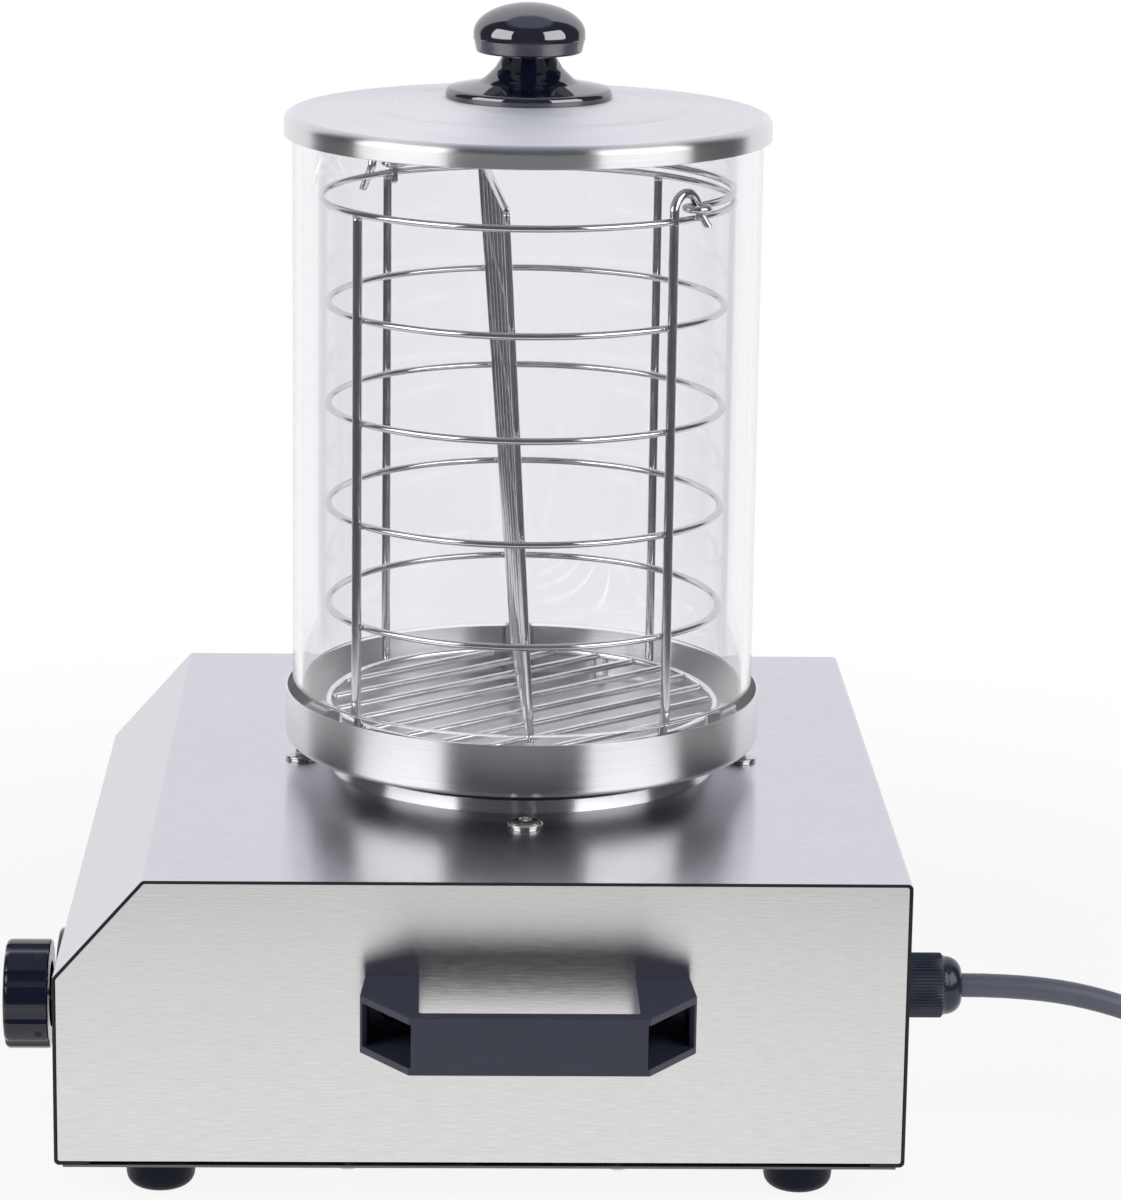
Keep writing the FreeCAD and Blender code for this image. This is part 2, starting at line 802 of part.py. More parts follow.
def make_top_screws():
    screws = []
    washers = []
    nuts = []
    bore = "top_screw_radius + screw_play"
    for index, (x, y) in enumerate(top_screw_spots()):
        screw = new_body(f"top_screw_{index}")
        turn_round(screw, [
            ("0", "-top_screw_length"),
            ("top_screw_radius", "-top_screw_length"),
            ("top_screw_radius", "0"),
            ("top_screw_head_radius", "0"),
            ("top_screw_head_radius", "top_screw_edge", "top_screw_round"),
            ("top_socket_radius", "top_screw_head_height"),
            ("top_socket_radius", "top_screw_head_height - top_socket_depth"),
            ("0", "top_screw_head_height - top_socket_depth"),
        ])
        screws.append(put(screw, x, y, "top_z + washer_thick"))
        disc = rod(f"top_washer_{index}_disc", "washer_radius", "washer_thick")
        hole = rod(f"top_washer_{index}_hole", bore, "washer_thick")
        washers.append(put(cut(f"top_washer_{index}", disc, hole), x, y, "top_z"))
        low = "under_z - bridge_sheet - top_nut_height"
        nuts.append(put(nut(f"top_nut_{index}", "top_nut_radius", "top_nut_height", bore), x, y, low))
    group("top_screws", screws)
    group("top_washers", washers)
    group("top_nuts", nuts)


# Handles

def make_handles():
    body = new_body("handle_right")
    sketch = new_sketch(body, "XY", "handle_z")
    half = [
        ("panel_x", "handle_root_half"),
        ("panel_x + handle_shoulder", "handle_half"),
        ("panel_x + handle_reach", "handle_grip_half"),
    ]
    window = [
        ("panel_x + handle_reach - handle_bar", "handle_window_half", "handle_window_round"),
        ("panel_x", "handle_window_half"),
    ]
    corners = [(x, f"tower_y + {y}") for x, y in half]
    corners += [(x, f"tower_y - {y}") for x, y in reversed(half)]
    corners += [(x, f"tower_y - {y}", *rest) for x, y, *rest in reversed(window)]
    corners += [(x, f"tower_y + {y}", *rest) for x, y, *rest in window]
    outline(sketch, corners)
    bar = pad(body, sketch, "handle_height")
    round_corners(body, bar, sketch, corners)

    hollow = new_sketch(body, "XY", "handle_z + handle_height - handle_wall")
    for side in SIDES:
        near = f"tower_y + {side} * (handle_window_half + handle_wall)"
        far = f"tower_y + {side} * (handle_half + handle_wall)"
        outline(hollow, [
            ("panel_x + handle_base", near),
            ("panel_x + handle_base", f"tower_y + {side} * (handle_root_half - handle_wall / 2)"),
            ("panel_x + handle_shoulder", f"tower_y + {side} * (handle_half - handle_wall)"),
            ("panel_x + handle_shoulder + handle_wall", far),
            ("panel_x + handle_reach + handle_wall", far),
            ("panel_x + handle_reach + handle_wall", near),
        ])
    pocket(body, hollow, "handle_height - 2 * handle_wall")
    holes = new_sketch(body, "YZ", "panel_x + handle_base + handle_wall")
    for side in SIDES:
        y = f"tower_y + {side} * handle_screw_half"
        circle(holes, y, "handle_z + handle_height / 2", "screw_radius + screw_play")
    pocket(body, holes, "handle_base + 2 * handle_wall")
    keep(body, "handle_right")
    mirrored(body, "handle_left")

    screws = []
    for side in SIDES:
        for end in SIDES:
            name = f"handle_screw_{len(screws)}"
            screw = new_body(name)
            turn_round(screw, [
                ("0", "-handle_screw_length"),
                ("screw_radius", "-handle_screw_length"),
                ("screw_radius", "0"),
                ("handle_screw_head", "0"),
                ("handle_screw_head", "handle_screw_rise", "handle_screw_round"),
                ("0", "handle_screw_rise"),
            ])
            put(screw, f"{side} * (panel_x + handle_base)", f"tower_y + {end} * handle_screw_half",
                "handle_z + handle_height / 2", turn=FreeCAD.Rotation(Y_AXIS, side * 90))
            screws.append(screw)
    group("handle_screws", screws)


# Controls

def make_thermostat():
    case = block("thermostat_case", "thermostat_width", "thermostat_depth", "thermostat_height")
    put(case, "knob_x - thermostat_width / 2", "front_y + sheet", "knob_z - thermostat_height / 2")
    bushing = rod("thermostat_bushing", "bushing_radius", "bushing_reach + 2 * sheet")
    put(bushing, "knob_x", "front_y + 2 * sheet", "knob_z", turn=TOWARD_FRONT)
    bore = rod("thermostat_bore", "spindle_radius + spindle_play", "spindle_depth + bushing_reach + sheet")
    put(bore, "knob_x", "front_y + spindle_depth", "knob_z", turn=TOWARD_FRONT)
    keep(cut("thermostat", fuse("thermostat_solid", [case, bushing]), bore), "thermostat")

    clamp = nut("thermostat_nut", "bushing_nut_radius", "bushing_nut_height", "bushing_radius + screw_play")
    keep(put(clamp, "knob_x", "front_y - bezel_floor", "knob_z", turn=TOWARD_FRONT), "thermostat_nut")

    bezel = new_body("knob_bezel")
    turn_round(bezel, [
        ("bushing_radius + screw_play", "0"),
        ("bezel_radius", "0"),
        ("bezel_radius", "bezel_thick", "bezel_rim / 2"),
        ("bezel_radius - bezel_rim", "bezel_thick", "bezel_rim / 4"),
        ("bezel_radius - bezel_rim", "bezel_floor"),
        ("bushing_radius + screw_play", "bezel_floor"),
    ])
    keep(put(bezel, "knob_x", "front_y", "knob_z", turn=TOWARD_FRONT), "knob_bezel")


def make_knob():
    knob = new_body("thermostat_knob")
    turn_round(knob, [
        ("knob_hollow_radius", "0"),
        ("knob_radius", "0", "knob_round / 3"),
        ("knob_radius", "knob_length", "knob_round"),
        ("0", "knob_length"),
        ("0", "spindle_grip"),
        ("spindle_radius + spindle_play", "spindle_grip"),
        ("spindle_radius + spindle_play", "knob_hollow_depth"),
        ("knob_hollow_radius", "knob_hollow_depth"),
    ])
    flute = new_sketch(knob, "XY", "knob_length + knob_round")
    circle(flute, "knob_radius + knob_flute_radius - knob_flute_depth", "0", "knob_flute_radius")
    groove = pocket(knob, flute, "knob_length + knob_round - knob_collar")
    repeat_round(knob, groove, flute, "knob_flutes")
    for plane in ("XZ", "YZ"):
        holes = new_sketch(knob, plane)
        circle(holes, "0", "knob_collar / 2", "knob_hole_radius")
        pocket(knob, holes)
    spin = TOWARD_FRONT.multiply(FreeCAD.Rotation(Z_AXIS, size("knob_spin")))
    keep(put(knob, "knob_x", "front_y - knob_gap", "knob_z", turn=spin), "thermostat_knob")

    spindle = rod("knob_spindle", "spindle_radius", "spindle_depth + knob_gap + spindle_grip - screw_play * 2")
    put(spindle, "knob_x", "front_y + spindle_depth - screw_play", "knob_z", turn=TOWARD_FRONT)
    keep(spindle, "knob_spindle")


def make_pilot_lamp():
    lens = new_body("pilot_lens")
    turn_round(lens, [
        ("0", "-sheet"),
        ("lamp_radius", "-sheet"),
        ("lamp_radius", "0"),
        ("lamp_flange_radius", "0"),
        ("lamp_flange_radius", "lamp_flange", "lamp_flange / 2"),
        ("lamp_radius", "lamp_flange"),
        ("lamp_radius", "lamp_flange + lamp_dome", "lamp_dome_round"),
        ("0", "lamp_flange + lamp_dome"),
    ])
    keep(put(lens, "-knob_x", "front_y", "knob_z", turn=TOWARD_FRONT), "pilot_lens")
    body = rod("pilot_body", "lamp_flange_radius", "lamp_depth")
    keep(put(body, "-knob_x", "front_y + sheet", "knob_z", turn=TOWARD_BACK), "pilot_body")


# Soft runs: straight stretches joined by tangent arcs

def rounded_route(points, share=0.45):
    """Edges of a route through hand-chosen points, with each corner rounded as widely as its runs allow."""
    edges = []
    radii = []
    start = points[0]
    for before, corner, after in zip(points, points[1:], points[2:]):
        back = before - corner
        ahead = after - corner
        reach = share * min(back.Length, ahead.Length)
        back.normalize()
        ahead.normalize()
        half_turn = (math.pi - back.getAngle(ahead)) / 2
        radius = reach / math.tan(half_turn)
        middle = back + ahead
        middle.normalize()
        depth = radius / math.cos(half_turn) - radius
        first = corner + back * reach
        last = corner + ahead * reach
        edges.append(Part.makeLine(start, first))
        edges.append(Part.Arc(first, corner + middle * depth, last).toShape())
        radii.append(radius)
        start = last
    edges.append(Part.makeLine(start, points[-1]))
    return edges, radii


def swept(edges, radius):
    path = Part.Wire(edges)
    start = path.OrderedVertexes[0].Point
    heading = path.OrderedEdges[0].tangentAt(path.OrderedEdges[0].FirstParameter)
    profile = Part.Wire([Part.makeCircle(radius, start, heading)])
    return path.makePipeShell([profile], True, False)


def soft_node(label, solids):
    """A node whose solids are swept along a route."""
    thing = doc.addObject("Part::Feature", label)
    thing.Shape = solids[0] if len(solids) == 1 else Part.makeCompound(solids)
    return keep(thing, label)


def make_sensor():
    bulb = rod("sensor_bulb", "bulb_radius", "bulb_length")
    low = "hot_z - hot_thick - bulb_radius"
    put(bulb, "-bulb_length / 2", "tower_y - bulb_offset", low, turn=FreeCAD.Rotation(Y_AXIS, 90))
    keep(bulb, "sensor_bulb")
    bulb_end = FreeCAD.Vector(size("bulb_length") / 2, size("tower_y") - size("bulb_offset"),
                              size("hot_z") - size("hot_thick") - size("bulb_radius"))
    case_back = FreeCAD.Vector(size("knob_x"), size("front_y") + size("sheet") + size("thermostat_depth"),
                               size("knob_z") + size("thermostat_height") / 4)
    out = size("thermostat_depth")
    points = [
        bulb_end,
        bulb_end + FreeCAD.Vector(out, 0, 0),
        FreeCAD.Vector(case_back.x, case_back.y + out, case_back.z),
        case_back,
    ]
    edges = rounded_route(points)[0]
    soft_node("capillary", [swept(edges, size("capillary_radius"))])


def make_terminals():
    body = block("terminal_case", "terminal_width", "terminal_depth", "terminal_height")
    slot = block("terminal_slot", "terminal_width", "terminal_slot", "terminal_height / 3")
    put(slot, "0", "(terminal_depth - terminal_slot) / 2", "terminal_height * 2 / 3")
    terminal = cut("terminal_block", body, slot)
    put(terminal, "terminal_x - terminal_width / 2", "back_y - terminal_inset - terminal_depth", "case_z")
    keep(terminal, "terminal_block")
    stud = rod("earth_stud", "earth_radius", "earth_height")
    keep(put(stud, "earth_x", "back_y - earth_inset", "case_z"), "earth_stud")

    sheath_end = FreeCAD.Vector(size("gland_x"), size("back_y") - size("cord_inside"), size("gland_z"))
    spread = size("wire_radius") + size("capillary_radius")
    top = size("case_z") + size("terminal_height")
    back = size("back_y") - size("terminal_inset")
    wires = []
    for step in (-1, 0, 1):
        start = sheath_end + FreeCAD.Vector(step * spread, 0, 0)
        end = FreeCAD.Vector(size("terminal_x") + step * size("terminal_width") / 4, back, top)
        end.y -= size("terminal_slot") / 4
        lead = start + FreeCAD.Vector(0, -size("cord_inside") / 2, 0)
        over = FreeCAD.Vector(end.x, end.y, end.z + size("terminal_height"))
        edges = rounded_route([start, lead, over, end])[0]
        wires.append(swept(edges, size("wire_radius")))
    soft_node("inner_wires", wires)


# Cable gland and mains lead

def make_gland():
    body = new_body("gland_body")
    bore = "cord_radius + cord_play"
    turn_round(body, [
        (bore, "-gland_thread_length"),
        ("gland_thread_radius", "-gland_thread_length"),
        ("gland_thread_radius", "0"),
        ("gland_flange_radius", "0"),
        ("gland_flange_radius", "gland_flange"),
        ("gland_barrel_radius", "gland_flange"),
        ("gland_barrel_radius", "gland_barrel"),
        (bore, "gland_barrel"),
    ])
    keep(put(body, "gland_x", "back_y", "gland_z", turn=TOWARD_BACK), "gland_body")

    cap = new_body("gland_nut")
    start = "gland_flange + cord_play"
    end = "gland_reach"
    turn_round(cap, [
        ("gland_nut_bore", start),
        ("gland_nut_radius", start),
        ("gland_nut_radius", f"{start} + gland_nut_length - gland_dome_radius / 2"),
        ("gland_dome_radius", f"{start} + gland_nut_length - gland_dome_radius / 2"),
        ("gland_dome_radius", end, "gland_dome_round"),
        (bore, end),
        (bore, "gland_barrel + gland_seal_length + cord_play"),
        ("gland_nut_bore", "gland_barrel + gland_seal_length + cord_play"),
    ])
    rib = new_sketch(cap, "XY", f"{start} + gland_nut_length")
    circle(rib, "gland_nut_radius", "0", "gland_rib_radius")
    groove = pocket(cap, rib, "gland_nut_length - gland_flange / 4")
    repeat_round(cap, groove, rib, "gland_ribs")
    keep(put(cap, "gland_x", "back_y", "gland_z", turn=TOWARD_BACK), "gland_nut")

    disc = rod("gland_seal_disc", "gland_seal_radius", "gland_seal_length")
    hole = rod("gland_seal_hole", bore, "gland_seal_length")
    seal = cut("gland_seal", disc, hole)
    keep(put(seal, "gland_x", "back_y + gland_barrel", "gland_z", turn=TOWARD_BACK), "gland_seal")

    thread = "gland_thread_radius + screw_play"
    lock = nut("gland_locknut", "gland_locknut_radius", "gland_locknut_height", thread)
    keep(put(lock, "gland_x", "back_y - sheet", "gland_z", turn=TOWARD_FRONT), "gland_locknut")

    inner = rod("cord_inner", "cord_radius", "cord_inside + gland_reach")
    keep(put(inner, "gland_x", "cord_y", "gland_z", turn=TOWARD_FRONT), "cord_inner")


# The free stretch of the lead: shares of its run toward +Y, and of its fall from the gland to the floor
FREE_ROUTE = (
    (0.0, 1.0),
    (0.158, 1.0),
    (0.358, 0.857),
    (0.547, 0.575),
    (0.716, 0.275),
    (0.821, 0.088),
    (0.926, 0.0),
    (1.0, 0.0),
)


def make_power_cord():
    points = []
    for along, up in FREE_ROUTE:
        y = size("cord_y") + along * size("cord_run")
        z = size("coil_z") + up * (size("gland_z") - size("coil_z"))
        points.append(FreeCAD.Vector(size("gland_x"), y, z))
    edges, radii = rounded_route(points)
    solid = swept(edges, size("cord_radius"))
    length = sum(edge.Length for edge in edges)
    section = math.pi * size("cord_radius") ** 2
    print("cord: bend radii", [round(radius, 1) for radius in radii], "length", round(length, 1),
          "volume over section", round(solid.Volume / section, 1))
    soft_node("power_cord", [solid])


def coil_point(turn):
    """The coil's middle line after some turns: inward on the floor, up one layer, then outward on top."""
    floor_turns = size("coil_floor_turns")
    climb = min(max((turn - floor_turns) / size("coil_climb_turns"), 0), 1)
    upper = max(turn - floor_turns - size("coil_climb_turns"), 0)
    radius = size("coil_radius") - size("coil_pitch") * (min(turn, floor_turns) - upper)
    radius -= size("coil_dip") * math.sin(math.pi * climb)
    rise = size("coil_layer") * (1 - math.cos(math.pi * climb)) / 2
    angle = 2 * math.pi * turn
    return FreeCAD.Vector(size("coil_x") + radius * math.cos(angle), size("coil_y") + radius * math.sin(angle),
                          size("coil_z") + rise)


def coil_heading(turn, last):
    """The way the coil runs on at a point. It starts and ends square to its radius."""
    if turn in (0, last):
        angle = 2 * math.pi * turn
        return FreeCAD.Vector(-math.sin(angle), math.cos(angle), 0)
    heading = coil_point(turn + TOLERANCE) - coil_point(turn - TOLERANCE)
    heading.normalize()
    return heading


def arc_toward(start, heading, end):
    """The arc that leaves a point in a given direction and ends at another point."""
    chord = end - start
    half = heading.getAngle(chord)
    side = chord - heading * chord.dot(heading)
    side.normalize()
    radius = chord.Length / (2 * math.sin(half))
    middle = start + heading * (radius * math.sin(half)) + side * (radius * (1 - math.cos(half)))
    return Part.Arc(start, middle, end).toShape()


def biarc(start, heading, end, last_heading):
    """Two arcs that meet smoothly between two points with given headings."""
    gap = end - start
    both = heading + last_heading
    square = 2 * (1 - heading.dot(last_heading))
    reach = gap.dot(both)
    length = (-reach + math.sqrt(reach * reach + square * gap.dot(gap))) / square
    joint = (start + end + (heading - last_heading) * length) * 0.5
    back = arc_toward(end, last_heading * -1, joint)
    return [arc_toward(start, heading, joint), Part.Arc(joint, back.valueAt(
        (back.FirstParameter + back.LastParameter) / 2), end).toShape()]


def least_self_gap(edges, radius):
    """The least clear space between stretches of a tube, measured on points along its middle line."""
    spacing = radius / 2
    next_stretch = 6 * radius
    points = []
    along = 0.0
    for edge in edges:
        count = max(2, int(edge.Length / spacing))
        for step in range(count):
            share = edge.FirstParameter + (edge.LastParameter - edge.FirstParameter) * step / count
            points.append((along + edge.Length * step / count, edge.valueAt(share)))
        along += edge.Length
    least = math.inf
    for index, (here, point) in enumerate(points):
        for there, other in points[index + 1:]:
            if there - here > next_stretch:
                least = min(least, point.distanceToPoint(other))
    return least - 2 * radius


def make_cord_coil():
    edges = []
    last = size("coil_floor_turns") + size("coil_climb_turns") + size("coil_upper_turns")
    count = round(last * COIL_STEPS)
    turns = [last * step / count for step in range(count + 1)]
    spots = [(coil_point(turn), coil_heading(turn, last)) for turn in turns]
    for (start, heading), (end, last_heading) in zip(spots, spots[1:]):
        edges += biarc(start, heading, end, last_heading)
    end, heading = spots[-1]
    edges.append(Part.makeLine(end, end + heading * size("coil_tail")))
    solid = swept(edges, size("cord_radius"))
    length = sum(edge.Length for edge in edges)
    gap = least_self_gap(edges, size("cord_radius"))
    section = math.pi * size("cord_radius") ** 2
    print("coil: length", round(length, 1), "volume over section", round(solid.Volume / section, 1),
          "least gap", round(gap, 2))
    soft_node("cord_coil", [solid])


def make_cord_tie():
    """A strap round the four strands that lie two on two on the far side of the coil."""
    low = "coil_inner + coil_pitch * (tie_turn - coil_climb_turns) - cord_radius - tie_play"
    high = "coil_radius - coil_pitch * tie_turn + cord_radius + tie_play"
    across = f"{high} - ({low})"
    tall = "coil_layer + 2 * cord_radius + tie_play"
    hollow = block("tie_hollow", across, "tie_width", tall)
    put(hollow, low, "-tie_width / 2", "tie_thick")
    outside = block("tie_outside", f"{across} + 2 * tie_thick", "tie_width", f"{tall} + 2 * tie_thick")
    put(outside, f"{low} - tie_thick", "-tie_width / 2", "0")
    strap = cut("cord_tie", outside, hollow)
    keep(put(strap, "coil_x", "coil_y", "0", angle="360 * tie_turn"), "cord_tie")


def make_plug():
    body = new_body("plug_body")
    turn_round(body, [
        ("0", "0"),
        ("plug_neck_radius", "0"),
        ("plug_neck_end", "plug_neck_length"),
        ("plug_radius", "plug_swell", "plug_round"),
        ("plug_radius", "plug_length", "plug_round / 4"),
        ("0", "plug_length"),
    ])
    outward = FreeCAD.Rotation(Y_AXIS, -90)
    y = "coil_y + coil_end"
    put(body, "coil_x - coil_tail", y, "plug_radius", turn=outward)
    keep(body, "plug_body")
    pins = []
    x = "coil_x - coil_tail - plug_length"
    for side in SIDES:
        pin = rod(f"plug_pin_{len(pins)}", "pin_radius", "pin_length")
        pins.append(put(pin, x, f"{y} + {side} * pin_pitch / 2", "plug_radius", turn=outward))
    group("plug_pins", pins)


# Water tray and glass

def make_tray():
    tray = new_body("water_tray")
    turn_round(tray, [
        ("0", "0"),
        ("tray_radius", "0", "tray_corner"),
        ("tray_radius", "tray_height", "tray_sheet / 3"),
        ("tray_radius - tray_sheet", "tray_height", "tray_sheet / 3"),
        ("tray_radius - tray_sheet", "tray_sheet", "tray_corner - tray_sheet"),
        ("0", "tray_sheet"),
    ])
    keep(put(tray, "0", "tower_y", "hot_z"), "water_tray")

    outer = "glass_radius - glass_wall - support_inset"
    inner = f"{outer} - support_sheet"
    ledge = "tray_radius - tray_sheet - support_play"
    tabs = []
    for index, angle in enumerate(THIRDS):
        tab = new_body(f"glass_support_{index}")
        sketch = new_sketch(tab, "XZ")
        corners = [
            (f"{inner} - support_foot", "tray_floor_z"),
            (outer, "tray_floor_z"),
            (outer, "glass_z - support_sheet"),
            (ledge, "glass_z - support_sheet"),
            (ledge, "glass_z"),
            (inner, "glass_z", "support_sheet / 2"),
            (inner, "tray_floor_z + support_sheet"),
            (f"{inner} - support_foot", "tray_floor_z + support_sheet"),
        ]
        outline(sketch, corners)
        strip = pad(tab, sketch, "support_width", middle=True)
        round_corners(tab, strip, sketch, corners)
        tabs.append(put(tab, "0", "tower_y", angle=f"support_angle + {angle}"))
    group("glass_supports", tabs)


def make_glass():
    glass = new_body("glass_cylinder")
    turn_round(glass, [
        ("glass_radius - glass_wall", "0", "glass_round"),
        ("glass_radius", "0", "glass_round"),
        ("glass_radius", "glass_height", "glass_round"),
        ("glass_radius - glass_wall", "glass_height", "glass_round"),
    ])
    keep(put(glass, "0", "tower_y", "glass_z"), "glass_cylinder")


# Wire basket

def make_basket_rings():
    keep(put(ring("basket_top_ring", "top_ring_radius", "hoop_wire"), "0", "tower_y", "top_ring_z"),
         "basket_top_ring")
    keep(put(ring("basket_floor_ring", "floor_ring_radius", "floor_wire"), "0", "tower_y", "floor_ring_z"),
         "basket_floor_ring")
    for step in range(4):
        label = f"basket_hoop_{step + 1}"
        height = f"floor_ring_z + hoop_first + {step} * hoop_pitch"
        keep(put(ring(label, "hoop_radius", "hoop_wire"), "0", "tower_y", height), label)


def make_basket_uprights():
    uprights = []
    low = "floor_ring_z - floor_wire"
    for angle in UPRIGHTS:
        upright = rod(f"{angle}_rod", "upright_wire", f"top_ring_z - hoop_wire + weld - ({low})")
        put(upright, f"top_ring_radius * cos({angle})", f"tower_y + top_ring_radius * sin({angle})", low)
        uprights.append(upright)
    group("basket_uprights", uprights)


def make_basket_floor():
    wires = []
    reach = int(size("grill_half_count"))
    for step in range(-reach, reach + 1):
        x = f"{step} * grill_pitch"
        edge = f"({abs(step)} * grill_pitch + grill_wire)"
        half = f"(sqrt(grill_reach * grill_reach - {edge} * {edge}) + light_weld)"
        wire = rod(f"grill_{step + reach}", "grill_wire", f"2 * {half}")
        wires.append(put(wire, x, f"-{half}", turn=TOWARD_BACK))
    put(group("basket_floor_wires", wires), "0", "tower_y", "floor_ring_z", angle="grill_angle")

    hanging = FreeCAD.Rotation(Y_AXIS, Z_AXIS * -1, X_AXIS * -1, "XYZ")
    feet = []
    for index, angle in enumerate(THIRDS):
        name = f"basket_foot_{index}"
        bend = ring(name + "_bend", "basket_foot_half", "basket_foot_wire", "180")
        put(bend, "floor_ring_radius", "0", "foot_bend_z", turn=hanging)
        legs = []
        reach = "floor_ring_z - floor_wire + light_weld - foot_bend_z"
        for side in SIDES:
            leg = rod(f"{name}_leg_{len(legs)}", "basket_foot_wire", reach)
            legs.append(put(leg, "floor_ring_radius", f"{side} * basket_foot_half", "foot_bend_z"))
        foot = fuse(name, [bend] + legs)
        feet.append(put(foot, "0", "tower_y", angle=f"basket_foot_angle + {angle}"))
    group("basket_feet", feet)


def make_rail(name, half, y, z, turn):
    """A rail across the basket, turned by a small angle about the tower."""
    heading = math.radians(size(turn))
    along = FreeCAD.Rotation(FreeCAD.Vector(-math.sin(heading), math.cos(heading), 0), 90)
    rail = rod(name, "rail_wire", f"2 * {half}")
    return put(rail, f"-{half} * cos({turn})", f"{y} - {half} * sin({turn})", z, turn=along)


def make_divider():
    """Two rails with rods upright between them; the rod at each end passes the end of the low rail."""
    low = make_rail("divider_low_rail", "(divider_half - divider_wire + weld)", "tower_y", "rail_z",
                    "low_rail_turn")
    top = make_rail("divider_top_rail", "(divider_half + top_rail_end)", "tower_y - divider_lean", "top_rail_z",
                    "top_rail_turn")
    group("divider_rails", [low, top])

    wires = []
    head = "(top_rail_z - rail_wire + light_weld)"
    for step in range(-3, 4):
        x = f"({step} * divider_half / 3)"
        foot = "(rail_z - rail_wire)" if abs(step) == 3 else "(rail_z + rail_wire - light_weld)"
        slant = f"((divider_lean - {x} * divider_twist) / divider_rise)"
        length = f"({head} - {foot}) * sqrt(1 + {slant} * {slant})"
        wire = rod(f"divider_wire_{step + 3}", "divider_wire", length)
        y = f"tower_y + {x} * tan(low_rail_turn) + {slant} * (rail_z - {foot})"
        put(wire, x, y, foot, angle=f"180 / pi * {slant}", axis=X_AXIS)
        wires.append(wire)
    group("divider_wires", wires)


def make_bail():
    standing = FreeCAD.Rotation(FreeCAD.Vector(1, 1, 1), 120)
    low = "top_ring_z + hoop_wire - light_weld"
    hooks = []
    for side in range(2):
        name = f"bail_hook_{side}"
        bow = ring(name + "_bow", "hook_radius", "upright_wire", "180")
        put(bow, "hook_reach", "0", "hook_z", turn=standing)
        legs = []
        for end in SIDES:
            leg = rod(f"{name}_leg_{len(legs)}", "upright_wire", f"hook_z - ({low})")
            legs.append(put(leg, "hook_reach", f"{end} * hook_radius", low))
        hook = fuse(name, [bow] + legs)
        hooks.append(put(hook, "0", "tower_y", angle=f"hook_angle + {180 * side}"))
    group("bail_hooks", hooks)

    bow = ring("bail_bow", "bail_radius", "bail_wire", "180 - 2 * bail_start")
    put(bow, "0", "bail_centre", angle="bail_start")
    eyes = []
    for side in SIDES:
        eye = ring(f"bail_eye_{len(eyes)}", "eye_radius", "bail_wire")
        eyes.append(put(eye, f"{side} * hook_reach", "hook_radius"))
    bail = fuse("lifting_bail", [bow] + eyes)
    keep(put(bail, "0", "tower_y", "hook_z", angle="hook_angle"), "lifting_bail")


# Lid

def make_lid():
    bore = "lid_bolt_radius + screw_play"
    under = [
        ("lid_seat_radius", "0"),
        ("lid_step_radius", "lid_slope"),
        ("lid_step_radius - lid_step_width", "lid_slope + lid_step"),
        ("lid_crown_radius", "lid_slope + lid_step + lid_crown"),
        (bore, "lid_slope + lid_step + lid_crown"),
    ]
    lid = new_body("lid")
    corners = [
        ("lid_radius", "lid_sheet", "lid_shoulder"),
        ("lid_radius", "-lid_skirt"),
        ("lid_radius - lid_sheet", "-lid_skirt"),
        ("lid_radius - lid_sheet", "0", "lid_shoulder - lid_sheet"),
    ]
    corners += under
    corners += [(radius, f"{height} + lid_sheet") for radius, height in reversed(under)]
    turn_round(lid, corners)
    keep(put(lid, "0", "tower_y", "glass_top_z"), "lid")

    depth = "(lid_bolt_length - lid_sheet + screw_play)"
    knob = new_body("lid_knob")
    turn_round(knob, [
        (bore, "0"),
        ("flange_radius", "0"),
        ("flange_radius", "flange_edge", "flange_round"),
        ("neck_radius", "neck_foot", "neck_round"),
        ("neck_radius", "neck_height"),
        ("grip_low_radius", "neck_height", "flange_round / 2"),
        ("grip_radius", "grip_part"),
        ("grip_radius", "grip_corner", "grip_round"),
        ("0", "grip_height"),
        ("0", depth),
        (bore, depth),
    ])
    keep(put(knob, "0", "tower_y", "lid_crown_z"), "lid_knob")

    head = rod("lid_bolt_head", "lid_bolt_head", "lid_bolt_head_height")
    shank = rod("lid_bolt_shank", "lid_bolt_radius", "lid_bolt_length")
    put(shank, z="lid_bolt_head_height")
    bolt = fuse("lid_knob_screw", [head, shank])
    keep(put(bolt, "0", "tower_y", "lid_crown_z - lid_sheet - lid_bolt_head_height"), "lid_knob_screw")


def write_nodes():
    """Recompute, check every object and write one file for each node."""
    doc.recompute()
    faulty = [thing.Label for thing in doc.Objects if {"Invalid", "Error"} & set(thing.State)]
    for thing in nodes:
        if thing.Shape.isNull() or not thing.Shape.isValid() or not thing.Shape.Solids:
            faulty.append(thing.Label)
    if faulty:
        raise RuntimeError(f"faulty objects: {faulty}")
    os.makedirs("parts", exist_ok=True)
    for thing in nodes:
        thing.Shape.exportStep(f"parts/{thing.Label}.step")
    print(len(nodes), "nodes written")


make_wrap_cover()
make_side_panels()
make_bottom_plate()
make_case_screws()
make_feet()
make_hot_plate()
make_bridge()
make_top_screws()
make_handles()
make_thermostat()
make_knob()
make_pilot_lamp()
make_sensor()
make_terminals()
make_gland()
make_power_cord()
make_cord_coil()
make_cord_tie()
make_plug()
make_tray()
make_glass()
make_basket_rings()
make_basket_uprights()
make_basket_floor()
make_divider()
make_bail()
make_lid()
write_nodes()
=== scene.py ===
import json
import math

import bmesh
import bpy
import numpy as np
from mathutils import Matrix, Vector


